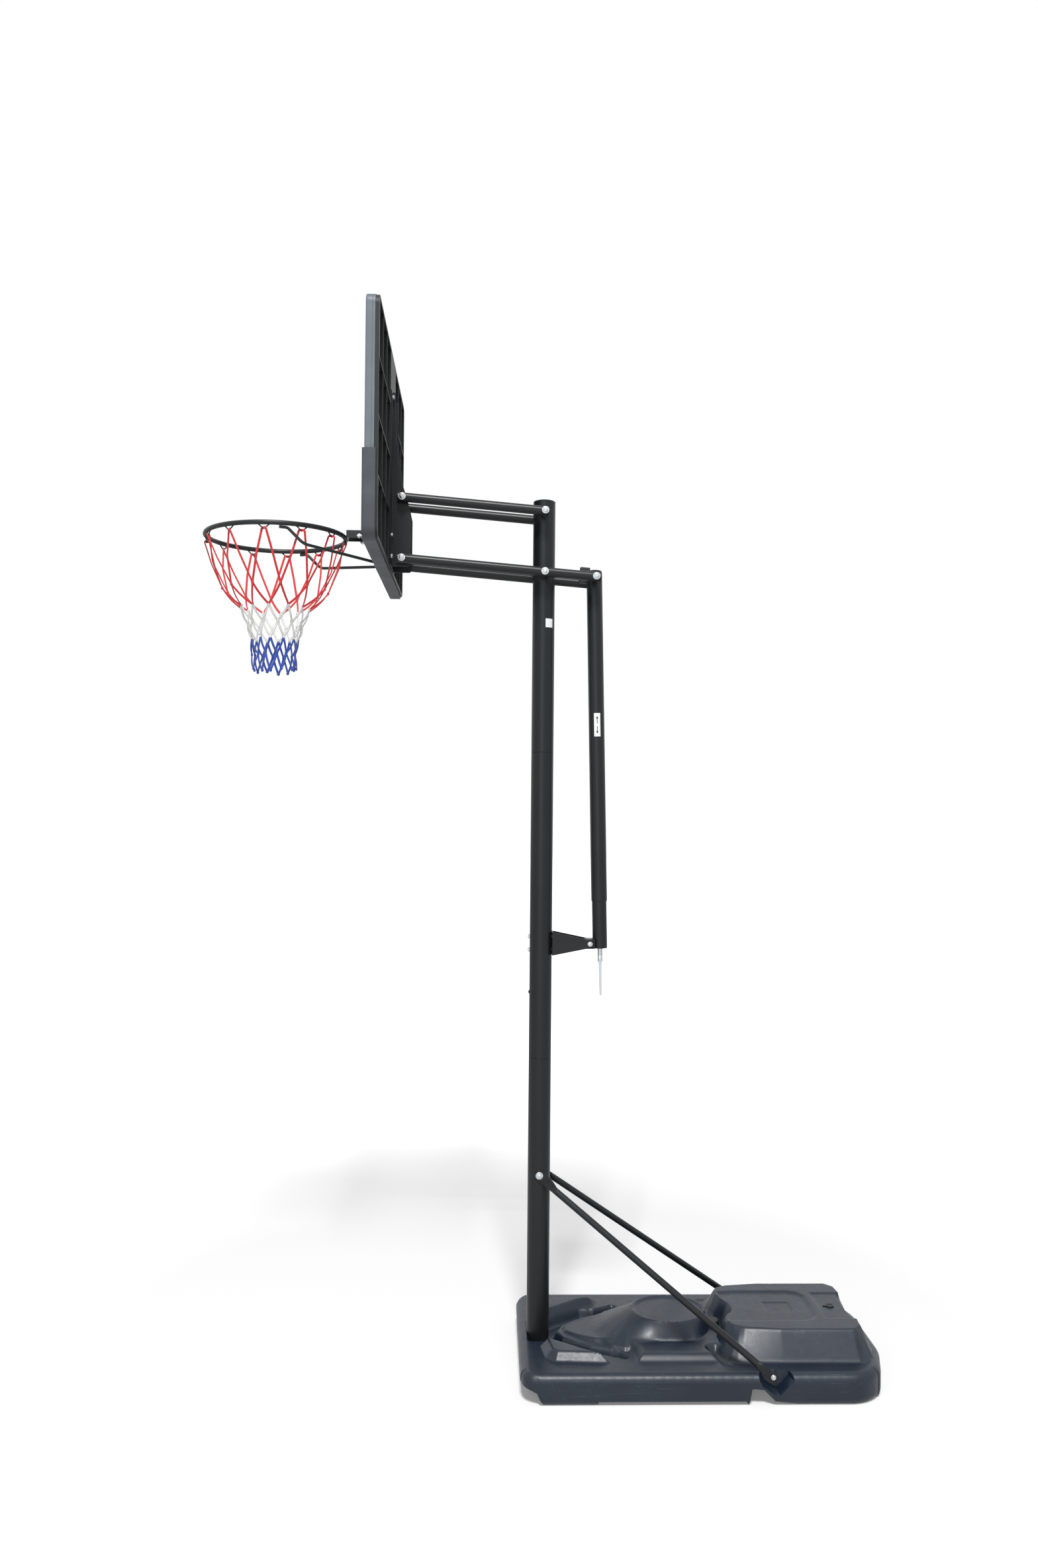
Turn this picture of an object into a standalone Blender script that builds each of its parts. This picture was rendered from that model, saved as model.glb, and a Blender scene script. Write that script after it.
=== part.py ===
"""A portable basketball stand, built as it comes apart on a bench.

A water-filled base on two wheels carries a three-piece pole. Two pairs of arms hold the
backboard as a parallelogram, and a screw jack behind the pole lifts them. The rim tilts on
springs, and its net hangs from wire hooks.

Units are metres, +Z is up. The origin lies on the pole's axis at floor level, the hoop
points to -X and the base reaches back to +X. Every piece is its own object. A moving piece
hangs from an empty that stands on its joint's axis.
"""

from math import atan2, cos, pi, radians, sin, sqrt

import bmesh
import bpy
from mathutils import Matrix, Vector

# Gaps between pieces
SEAT_GAP = 0.0003
RUN_GAP = 0.0005
BOLT_GAP = 0.0006

# How far a cutter runs past the face that it cuts
CUT_REACH = 0.05

# Pole
POLE_RADIUS = 0.0381
POLE_WALL = 0.002
POLE_FOOT_Z = 0.031
POLE_LOW_JOINT_Z = 1.031
POLE_HIGH_JOINT_Z = 2.075
POLE_HEAD = 0.045
POLE_NECK_LENGTH = 0.11
POLE_CAP_RISE = 0.007
POLE_CAP_PLUG = 0.010

# Arms
ARM_PIVOT_Z = 2.6857
ARM_SPREAD = 0.2073
ARM_REACH = 0.4865
ARM_REAR_REACH = 0.1755
ARM_REST_TILT = radians(4.65)
ARM_RADIUS = 0.0158
ARM_WALL = 0.0015
ARM_OFFSET_Y = 0.0752
ARM_END_FRONT = 0.017
ARM_END_REAR = 0.012
SLEEVE_RADIUS = 0.0105

# Bolts
BOLT_RADIUS = 0.005
BOLT_FLATS = 0.0168
NUT_HEIGHT = 0.0088
WASHER_RADIUS = 0.0126
WASHER_THICKNESS = 0.002
BOLT_TAIL = 0.0035
SMALL_BOLT_RADIUS = 0.0038
SMALL_BOLT_FLATS = 0.0128
SMALL_NUT_HEIGHT = 0.0062
SMALL_WASHER_RADIUS = 0.0085

# Screw jack
JACK_LEAN = radians(1.3)
JACK_TUBE_RADIUS = 0.027
JACK_TUBE_WALL = 0.0015
JACK_TUBE_TOP = 0.035
JACK_TUBE_DROP = 1.105
JACK_ROD_RADIUS = 0.025
JACK_ROD_WALL = 0.002
JACK_ROD_FOOT = 1.2665
JACK_ROD_HEAD = 0.72
JACK_FOOT_PLATE = 0.004
SCREW_RADIUS = 0.008
SCREW_NECK_RADIUS = 0.006
SCREW_TOP = 0.44
SCREW_NUT_TOP = 0.60
SCREW_NUT_HEIGHT = 0.026
SCREW_COLLAR = 0.006
STOP_BLOCK_X = (-0.0505, -0.0155)
STOP_BLOCK_Z = (-0.006, 0.0495)
STOP_BLOCK_Y = 0.0295

# Crank
FORK_RADIUS = 0.0085
FORK_LENGTH = 0.047
FORK_SLOT = 0.0052
HANDLE_THICKNESS = 0.004
HANDLE_WIDTH = 0.011
HANDLE_LENGTH = 0.128
HANDLE_PIN_DROP = 0.037
HANDLE_PIN_RADIUS = 0.003

# Jack bracket on the pole, which hangs below the arms' rear pivot
BRACKET_GAUGE = 0.003
BRACKET_REACH = 0.1672
BRACKET_DROP = 1.25
BRACKET_EAR_INNER = 0.0288
BRACKET_ROOT_HALF = 0.040
BRACKET_END_RADIUS = 0.0135
BRACKET_BOLT_RISES = (0.0225, -0.0225)
LUG_HALF_WIDTH = 0.0285
LUG_GROOVE_HALF = 0.0095
LUG_GROOVE_FLOOR = 0.0250
LUG_FRONT_X = 0.150
LUG_HEIGHT = 0.032
PIVOT_STUB_END = 0.0254

# Backboard: its face lies ahead of the lower front pivot, and its lower edge below it
BOARD_WIDTH = 1.118
BOARD_HEIGHT = 0.737
BOARD_AHEAD = 0.0801
BOARD_DROP = 0.0311
BOARD_THICKNESS = 0.040
BOARD_CORNER = 0.030
BOARD_FLANGE = 0.020
PANEL_THICKNESS = 0.003
FRAME_WEB = 0.005
FRAME_RIB = 0.005
FRAME_RIM_WALL = 0.010
FRAME_CENTRE_HALF = 0.105
FRAME_COLUMNS = 3
FRAME_ROWS = 4
PAD_PROUD = 0.008
PAD_LIP = 0.045
PAD_RISE = 0.265
PAD_BACK_GAP = 0.006
PAD_NOTCH_HALF = 0.094

# Backboard bracket: depths behind the board's face, rises above the board's lower edge
CHEEK_GAUGE = 0.003
CHEEK_OUTER_Y = 0.0588
CHEEK_LOW_RISE = 0.006
CHEEK_RISE = 0.599
CHEEK_DEPTH = 0.1075
CHEEK_TRIM = 0.008
CHEEK_SHOULDER = ((0.1075, 0.184), (0.0995, 0.223), (0.088, 0.259), (0.074, 0.304))
CHEEK_NECK = ((0.057, 0.436), (0.052, 0.599))
FLANGE_HALF_WIDTH = 0.091
RIM_BOLT_Y = 0.0755
RIM_BOLT_RISES = (0.039, 0.110)
TOP_BOLT_RISE = 0.578
TOP_BOLT_Y = 0.074

# Rim, its mount and its springs: rises above the board's lower edge
RIM_AHEAD = 0.356
RIM_RISE = 0.111
RING_INNER_RADIUS = 0.2286
RING_WIRE_RADIUS = 0.008
HOOK_COUNT = 12
HOOK_WIRE_RADIUS = 0.0022
HOOK_HALF_SPAN = 0.021
HOOK_SHOULDER = (0.011, 0.0125)
HOOK_DROP = 0.0225
MOUNT_PLATE_HALF = 0.087
MOUNT_PLATE_GAUGE = 0.003
MOUNT_PLATE_LOW_RISE = 0.007
MOUNT_PLATE_RISE = 0.142
RIM_PLATE_HALF = 0.0625
RIM_PLATE_GAUGE = 0.004
RIM_PLATE_RISE = 0.138
RIM_HOOK_HEIGHT = 0.006
CHANNEL_HALF = 0.031
CHANNEL_LOW_RISE = 0.107
CHANNEL_RISE = 0.134
CHANNEL_GAUGE = 0.0025
SPRING_Y = 0.050
SPRING_RISE = 0.1105
SPRING_STUD_RADIUS = 0.004
SPRING_STUD_PLAY = 0.0025
SPRING_MEAN_RADIUS = 0.0064
SPRING_WIRE_RADIUS = 0.0014
SPRING_TURNS = 5
SPRING_STUD_REACH = 0.0735
BRACE_RADIUS = 0.005
BRACE_WELD_BACK = 0.049
BRACE_RUN = (0.074, 0.2205)
BRACE_BEND = (0.125, 0.212, 0.064)
BRACE_FOOT = (0.040, 0.0225)

# Net: the bar at the top of each loop lies across its hook, then the loop's sides bend at
# a (depth, radius, half width), and each row of knots has a (depth, radius)
NET_BAR_HALF = 0.007
NET_BAR_CROSS = 0.007
NET_BEND = (0.080, 0.214, 0.027)
NET_ROWS = (
    (0.166, 0.180),
    (0.228, 0.118),
    (0.280, 0.094),
    (0.332, 0.080),
    (0.386, 0.072),
    (0.440, 0.070),
)
NET_CORD = 0.0048
NET_CORD_REACH = 0.0013

# Struts
STRUT_RADIUS = 0.011
STRUT_TAB = 0.0042
STRUT_TAB_HALF = 0.017
STRUT_FOOT_HALF = 0.0125
STRUT_TOP_Z = 0.638
STRUT_FOOT = (0.737, 0.084)
STRUT_FOOT_Y = 0.3175
STRUT_KINK = 0.065
STRUT_KINK_Y = 0.0774
STRUT_FOOT_BEND = 0.014

# Base tank, in plan and in height
TANK_HALF_WIDTH = 0.335
TANK_FRONT_X = -0.066
TANK_REAR_X = 1.080
TANK_REAR_BULGE = 1.135
TANK_DECK_Z = 0.098
TANK_PLATEAU_Z = 0.120
TANK_SHOULDER_Z = 0.125
TANK_MOUND_Z = 0.178
TANK_BLOCK_Z = 0.184
TANK_WALL = 0.004
TANK_PLATEAU_HALF = 0.222
POCKET_WALL_Y = 0.300
POCKET_BOSS_RADIUS = 0.014
MOUND_X = 0.438
MOUND_FOOT_RADIUS = 0.180
MOUND_TOP_RADIUS = 0.134
MOUND_BACK = 0.152
MOUND_TAIL = 0.248
MOUND_TAIL_TOP = 0.138
DISH_RADIUS = 0.118
DISH_DEPTH = 0.010
WELL_FLOOR_Z = 0.030
WATER_LEVEL_Z = 0.108
ABOVE_TANK_Z = 0.3
FILLER_X = 0.597
FILLER_RADIUS = 0.019
FILLER_CAP_RADIUS = 0.0255
FILLER_CAP_HEIGHT = 0.017
DRAIN_X = 1.005
DRAIN_RECESS_FRONT = 0.040
DRAIN_RECESS_BACK = 0.035
DRAIN_RADIUS = 0.0085

# Wheels
WHEEL_X = -0.018
WHEEL_Z = 0.052
WHEEL_RADIUS = 0.032
WHEEL_WIDTH = 0.032
WHEEL_Y = 0.252
FENDER_Y = 0.215
AXLE_RADIUS = 0.0045
AXLE_GRIP = 0.016

# Facets
ROUND = 20
SMALL_ROUND = 12
HOLE_ROUND = 8


# Values that follow from the sizes above


def arm_point(distance):
    """The X and Z of the point this far along the lower arms, towards the hoop."""
    return (
        -distance * cos(ARM_REST_TILT),
        ARM_PIVOT_Z + distance * sin(ARM_REST_TILT),
    )


FRONT_PIVOT = arm_point(ARM_REACH)
REAR_PIVOT = arm_point(-ARM_REAR_REACH)
POLE_TOP_Z = ARM_PIVOT_Z + ARM_SPREAD + POLE_HEAD
BRACKET_PIVOT = (BRACKET_REACH, REAR_PIVOT[1] - BRACKET_DROP)
BOARD_FRONT_X = FRONT_PIVOT[0] - BOARD_AHEAD
BOARD_BACK_X = BOARD_FRONT_X + BOARD_THICKNESS
BOARD_LOW_Z = FRONT_PIVOT[1] - BOARD_DROP
PAD_TOP_Z = BOARD_LOW_Z + PAD_RISE
RING_RADIUS = RING_INNER_RADIUS + RING_WIRE_RADIUS
RIM_CENTRE = (BOARD_FRONT_X - RIM_AHEAD, BOARD_LOW_Z + RIM_RISE)
ARM_OUTER_Y = ARM_OFFSET_Y + ARM_RADIUS
ARM_INNER_Y = ARM_OFFSET_Y - ARM_RADIUS
MOUNT_FRONT_X = BOARD_FRONT_X - SEAT_GAP - MOUNT_PLATE_GAUGE
MOUNT_PLATE_LOW_Z = BOARD_LOW_Z + MOUNT_PLATE_LOW_RISE
RIM_HINGE_X = MOUNT_FRONT_X - 2 * SEAT_GAP
RIM_HINGE_Z = MOUNT_PLATE_LOW_Z + 0.0012
RIM_PLATE_FRONT_X = RIM_HINGE_X - RIM_PLATE_GAUGE
SPRING_Z = BOARD_LOW_Z + SPRING_RISE
SPRING_STUD_END_X = BOARD_FRONT_X - SPRING_STUD_REACH
BRACKET_WEB_X = POLE_RADIUS + SEAT_GAP + BRACKET_GAUGE


# Scene, collections and materials


def clear_scene():
    for obj in list(bpy.data.objects):
        bpy.data.objects.remove(obj, do_unlink=True)


def new_collection(name):
    collection = bpy.data.collections.new(name)
    bpy.context.scene.collection.children.link(collection)
    return collection


def linear(channel):
    return channel / 12.92 if channel <= 0.04045 else ((channel + 0.055) / 1.055) ** 2.4


def material(name, code, roughness, metallic=0.0):
    """A plain finish from an sRGB hex code."""
    result = bpy.data.materials.new(name)
    result.use_nodes = True
    shader = result.node_tree.nodes["Principled BSDF"]
    rgb = [linear(int(code[i : i + 2], 16) / 255) for i in (1, 3, 5)]
    shader.inputs["Base Color"].default_value = (*rgb, 1)
    shader.inputs["Roughness"].default_value = roughness
    shader.inputs["Metallic"].default_value = metallic
    result.diffuse_color = (*rgb, 1)
    return result


clear_scene()
STAND = new_collection("basketball_stand")
CUTTERS = new_collection("cutters")

POWDER_COAT = material("black_powder_coat", "#26292B", 0.45, 0.3)
RIM_COAT = material("rim_coat", "#2B2D2E", 0.4, 0.3)
ZINC = material("zinc_plate", "#C9CCCF", 0.3, 1.0)
TANK_PLASTIC = material("tank_polyethylene", "#2F3A48", 0.5)
FRAME_PLASTIC = material("frame_plastic", "#2A2D30", 0.5)
PANEL_PLASTIC = material("panel_acrylic", "#E8EAEC", 0.15)
PAD_FOAM = material("pad_polyurethane", "#3A3F45", 0.6)
BLACK_PLASTIC = material("black_plastic", "#17181A", 0.5)
NET_NYLON = material("net_nylon", "#D8413F", 0.8)
TYRE_PLASTIC = material("wheel_plastic", "#141516", 0.7)
WATER = material("water", "#7FA6C0", 0.1)


# Building blocks


def pivot(name, place, turn_y=0.0):
    """An empty on a joint's axis, or at the origin of a fixed sub-assembly."""
    empty = bpy.data.objects.new(name, None)
    empty.empty_display_size = 0.05
    empty.location = place
    empty.rotation_euler.y = turn_y
    STAND.objects.link(empty)
    return empty


def finish(obj, paint, parent, smooth=True):
    """Puts a finished piece in the stand, or with no paint makes it a hidden cutter."""
    if paint is None:
        CUTTERS.objects.link(obj)
        obj.hide_render = True
        obj.display_type = "WIRE"
    else:
        STAND.objects.link(obj)
        obj.data.materials.clear()
        obj.data.materials.append(paint)
    obj.parent = parent
    if smooth and obj.type == "MESH":
        obj.data.shade_smooth()
        obj.data.set_sharp_from_angle(angle=radians(35))
    return obj


def from_bmesh(name, bm, paint, parent, smooth=True):
    bmesh.ops.recalc_face_normals(bm, faces=bm.faces)
    mesh = bpy.data.meshes.new(name)
    bm.to_mesh(mesh)
    bm.free()
    return finish(bpy.data.objects.new(name, mesh), paint, parent, smooth)


def aim(obj, place, direction):
    """Moves an object to a place and turns its own +Z along a direction."""
    turn = Vector(direction).to_track_quat("Z", "Y").to_matrix().to_4x4()
    obj.matrix_basis = Matrix.Translation(place) @ turn
    return obj


def snug(radius, sides):
    """The corner radius of a many-sided hole whose flats clear a round of this radius."""
    return radius / cos(pi / sides)


def turned(name, profile, paint, parent, steps=ROUND, closed=True):
    """A profile of (radius, height) points turned about its own Z by a Screw modifier.

    The points run down the outer side. A closed profile makes a ring or a tube, and an
    open one starts and ends on the axis.
    """
    bm = bmesh.new()
    points = [bm.verts.new((radius, 0, height)) for radius, height in profile]
    for start, end in zip(points, points[1:]):
        bm.edges.new((start, end))
    if closed:
        bm.edges.new((points[-1], points[0]))
    mesh = bpy.data.meshes.new(name)
    bm.to_mesh(mesh)
    bm.free()
    obj = bpy.data.objects.new(name, mesh)
    screw = obj.modifiers.new("turn", "SCREW")
    screw.steps = screw.render_steps = steps
    screw.use_merge_vertices = True
    screw.merge_threshold = 1e-5
    screw.use_smooth_shade = True
    return finish(obj, paint, parent, smooth=False)


def tube(name, radius, wall, low, high, paint, parent, steps=ROUND):
    """An open tube along its own Z."""
    profile = ((radius, high), (radius, low), (radius - wall, low), (radius - wall, high))
    return turned(name, profile, paint, parent, steps)


def rod_cutter(name, radius, start, end, parent, sides=SMALL_ROUND):
    """A hidden cylinder from start to end whose flats lie at the radius."""
    start, end = Vector(start), Vector(end)
    bm = bmesh.new()
    bmesh.ops.create_cone(
        bm,
        cap_ends=True,
        segments=sides,
        radius1=snug(radius, sides),
        radius2=snug(radius, sides),
        depth=(end - start).length,
    )
    obj = from_bmesh(name, bm, None, parent)
    return aim(obj, (start + end) / 2, end - start)


def block(name, low, high, paint, parent, bevel=0.0, segments=1):
    """A box between two corners, with rounded edges if it has a bevel."""
    bm = bmesh.new()
    bmesh.ops.create_cube(bm, size=1)
    size = [b - a for a, b in zip(low, high)]
    centre = [(a + b) / 2 for a, b in zip(low, high)]
    bmesh.ops.scale(bm, vec=size, verts=bm.verts)
    if bevel:
        bmesh.ops.bevel(
            bm, geom=bm.edges, offset=bevel, segments=segments, profile=0.5, affect="EDGES"
        )
    bmesh.ops.translate(bm, vec=centre, verts=bm.verts)
    return from_bmesh(name, bm, paint, parent)


def boxes(name, corners, parent):
    """One hidden cutter made of several separate boxes."""
    bm = bmesh.new()
    for low, high in corners:
        new = bmesh.ops.create_cube(bm, size=1)["verts"]
        bmesh.ops.scale(bm, vec=[b - a for a, b in zip(low, high)], verts=new)
        bmesh.ops.translate(bm, vec=[(a + b) / 2 for a, b in zip(low, high)], verts=new)
    return from_bmesh(name, bm, None, parent)


def lofted(name, rings, paint, parent, smooth=True):
    """A closed skin over rings of points, all with as many points, and flat at its ends."""
    bm = bmesh.new()
    rows = [[bm.verts.new(point) for point in ring] for ring in rings]
    for lower, upper in zip(rows, rows[1:]):
        for i in range(len(lower)):
            j = (i + 1) % len(lower)
            bm.faces.new((lower[i], lower[j], upper[j], upper[i]))
    bm.faces.new(rows[0])
    bm.faces.new(rows[-1])
    return from_bmesh(name, bm, paint, parent, smooth)


def plate(name, outline, thickness, paint, parent):
    """A flat plate from an outline in its own X and Y, centred on Z = 0."""
    bm = bmesh.new()
    face = bm.faces.new([bm.verts.new((x, y, -thickness / 2)) for x, y in outline])
    moved = bmesh.ops.extrude_face_region(bm, geom=[face])["geom"]
    verts = [item for item in moved if isinstance(item, bmesh.types.BMVert)]
    bmesh.ops.translate(bm, vec=(0, 0, thickness), verts=verts)
    return from_bmesh(name, bm, paint, parent)


def upright_plate(name, outline, y_centre, thickness, paint, parent):
    """A plate whose outline is given in world X and Z, standing square to Y."""
    obj = plate(name, [(x, -z) for x, z in outline], thickness, paint, parent)
    obj.rotation_euler.x = -pi / 2
    obj.location.y = y_centre
    return obj


def facing_plate(name, outline, x_centre, thickness, paint, parent):
    """A plate whose outline is given in world Y and Z, standing square to X."""
    obj = plate(name, outline, thickness, paint, parent)
    obj.rotation_euler = (pi / 2, 0, pi / 2)
    obj.location.x = x_centre
    return obj


def wire(name, points, radius, paint, parent, resolution=1):
    """A round wire along a list of points, with closed ends."""
    curve = bpy.data.curves.new(name, "CURVE")
    curve.dimensions = "3D"
    curve.bevel_depth = radius
    curve.bevel_resolution = resolution
    curve.use_fill_caps = True
    spline = curve.splines.new("POLY")
    spline.points.add(len(points) - 1)
    for item, point in zip(spline.points, points):
        item.co = (*point, 1)
    return finish(bpy.data.objects.new(name, curve), paint, parent, smooth=False)


def as_mesh(obj):
    """Replaces a curve by its welded mesh, so that a Boolean can take it."""
    bpy.context.view_layer.update()
    graph = bpy.context.evaluated_depsgraph_get()
    mesh = bpy.data.meshes.new_from_object(obj.evaluated_get(graph))
    bm = bmesh.new()
    bm.from_mesh(mesh)
    bmesh.ops.remove_doubles(bm, verts=bm.verts, dist=1e-6)
    bmesh.ops.recalc_face_normals(bm, faces=bm.faces)
    bm.to_mesh(mesh)
    bm.free()
    name, parent, matrix = obj.name, obj.parent, obj.matrix_basis.copy()
    homes = list(obj.users_collection)
    hidden = obj.hide_render
    bpy.data.objects.remove(obj)
    result = bpy.data.objects.new(name, mesh)
    for home in homes:
        home.objects.link(result)
    result.parent = parent
    result.matrix_basis = matrix
    result.hide_render = hidden
    if hidden:
        result.display_type = "WIRE"
    return result


def combine(obj, other, operation="DIFFERENCE"):
    """Cuts a hidden helper from a piece, or joins it on."""
    modifier = obj.modifiers.new(other.name, "BOOLEAN")
    modifier.operation = operation
    modifier.object = other
    modifier.solver = "EXACT"
    return obj


def join(obj, other):
    return combine(obj, other, "UNION")


# Bolts


def ring_of(radius, height):
    """Twelve points of a circle."""
    turn = 2 * pi / SMALL_ROUND
    return [
        (radius * cos(i * turn), radius * sin(i * turn), height) for i in range(SMALL_ROUND)
    ]


def hexagon(flats, height):
    """Twelve points of a hexagon: its corners and the middles of its sides."""
    turn = 2 * pi / SMALL_ROUND
    middle = flats / 2
    corner = middle / cos(pi / 6)
    radii = [corner if i % 2 == 0 else middle for i in range(SMALL_ROUND)]
    return [
        (r * cos(i * turn), r * sin(i * turn), height) for i, r in enumerate(radii)
    ]


def through_bolt(name, place, direction, half_grip, paint, parent, small=False):
    """A bolt with head, washer and nut that clamps a stack from -half_grip to +half_grip.

    A large one has a washer under its nut too, and its shank shows beyond the nut.
    """
    shank = SMALL_BOLT_RADIUS if small else BOLT_RADIUS
    flats = SMALL_BOLT_FLATS if small else BOLT_FLATS
    nut = SMALL_NUT_HEIGHT if small else NUT_HEIGHT
    washer = SMALL_WASHER_RADIUS if small else WASHER_RADIUS
    seat = half_grip + SEAT_GAP
    face = seat + WASHER_THICKNESS
    rings = [
        hexagon(flats, -face - nut * 0.75),
        hexagon(flats, -face),
        ring_of(washer, -face),
        ring_of(washer, -seat),
        ring_of(shank, -seat),
        ring_of(shank, seat),
    ]
    if small:
        rings += [hexagon(flats, seat), hexagon(flats, seat + nut)]
    else:
        rings += [
            ring_of(washer, seat),
            ring_of(washer, face),
            hexagon(flats, face),
            hexagon(flats, face + nut),
            ring_of(shank, face + nut),
            ring_of(shank, face + nut + BOLT_TAIL),
        ]
    return aim(lofted(name, rings, paint, parent), place, direction)


def bolt_hole(obj, name, place, direction, half_length, parent, radius=BOLT_RADIUS):
    """A hole that clears a bolt, centred on a place."""
    middle, reach = Vector(place), Vector(direction).normalized() * half_length
    sides = SMALL_ROUND if radius > BOLT_RADIUS else HOLE_ROUND
    cutter = rod_cutter(name, radius + BOLT_GAP, middle - reach, middle + reach, parent, sides)
    return combine(obj, cutter)


# Outlines in plan


def rounded(corners, arc_steps=4):
    """An outline through (x, y, radius) corners, each rounded by an arc."""
    points = []
    for i, (x, y, radius) in enumerate(corners):
        here = Vector((x, y))
        before = (Vector(corners[i - 1][:2]) - here).normalized()
        after = (Vector(corners[(i + 1) % len(corners)][:2]) - here).normalized()
        if not radius:
            points.append((x, y))
            continue
        half = before.angle(after) / 2
        centre = here + (before + after).normalized() * radius / sin(half)
        start = here + before * radius / sin(half) * cos(half) - centre
        end = here + after * radius / sin(half) * cos(half) - centre
        sweep = start.angle_signed(end)
        for step in range(arc_steps + 1):
            turn = Matrix.Rotation(-sweep * step / arc_steps, 2)
            points.append(tuple(centre + turn @ start))
    return points


def inset(outline, distance):
    """The outline moved inwards by a distance, for points that run anticlockwise."""
    if not distance:
        return list(outline)
    result = []
    for i, point in enumerate(outline):
        here = Vector(point)
        along = (here - Vector(outline[i - 1])).normalized()
        onward = (Vector(outline[(i + 1) % len(outline)]) - here).normalized()
        bisector = (along.orthogonal() + onward.orthogonal()).normalized()
        result.append(tuple(here + bisector * distance / bisector.dot(along.orthogonal())))
    return result


def stacked(name, outline, levels, paint, parent):
    """A solid through copies of an outline, each inset and raised as (height, inset)."""
    rings = [
        [(x, y, height) for x, y in inset(outline, distance)] for height, distance in levels
    ]
    return lofted(name, rings, paint, parent)


def mirrored(outline):
    """The same outline on the other side of the X axis, still anticlockwise."""
    return [(x, -y) for x, y in reversed(outline)]


def rounded_rectangle(low_x, high_x, half_width, radius, arc_steps):
    corners = (
        (high_x, half_width),
        (low_x, half_width),
        (low_x, -half_width),
        (high_x, -half_width),
    )
    return rounded([(x, y, radius) for x, y in corners], arc_steps)


# Base tank


def tank_outline():
    half = TANK_HALF_WIDTH
    return rounded(
        (
            (TANK_FRONT_X, half, 0.05),
            (TANK_FRONT_X, -half, 0.05),
            (TANK_REAR_X, -half, 0.12),
            (TANK_REAR_BULGE, -half * 0.4, 0.20),
            (TANK_REAR_BULGE, half * 0.4, 0.20),
            (TANK_REAR_X, half, 0.12),
        ),
        3,
    )


def plateau_outline():
    half = TANK_PLATEAU_HALF
    side = [(0.29, -0.13), (0.33, -half), (0.67, -half)]
    return [(0.085, 0.0)] + side + mirrored(side)


def shoulder_outline():
    return [(-0.03, -0.242), (0.23, -0.242), (0.30, -0.205), (0.13, -0.15), (0.03, -0.095),
            (-0.03, -0.095)]


def valley_outline():
    side = [(-0.028, -0.088), (0.032, -0.088), (0.13, -0.142), (0.26, -0.185), (0.285, -0.142)]
    return side + [(0.072, 0.0)] + mirrored(side)


def block_outline():
    side = [(0.655, -0.045), (0.612, -0.085), (0.612, -0.195), (0.662, -0.245),
            (1.045, -0.245), (1.098, -0.19), (1.098, -0.13), (1.068, -0.10)]
    return side + mirrored(side)


def mound_outline(radius, tail):
    """A disc with a tail drawn out towards the pole, cut off short of the filler."""
    touch = pi - atan2(sqrt(tail**2 - radius**2), radius)
    back = MOUND_BACK - (MOUND_FOOT_RADIUS - radius)
    steps = 12
    points = []
    for i in range(steps + 1):
        angle = -touch + 2 * touch * i / steps
        points.append((MOUND_X + min(radius * cos(angle), back), radius * sin(angle)))
    return points + [(MOUND_X - tail, 0.0)]


def side_profile(points, y_low, y_high, name, parent):
    """A hidden cutter with an outline in X and Z, between two planes across Y."""
    return upright_plate(name, points, (y_low + y_high) / 2, y_high - y_low, None, parent)


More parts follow.
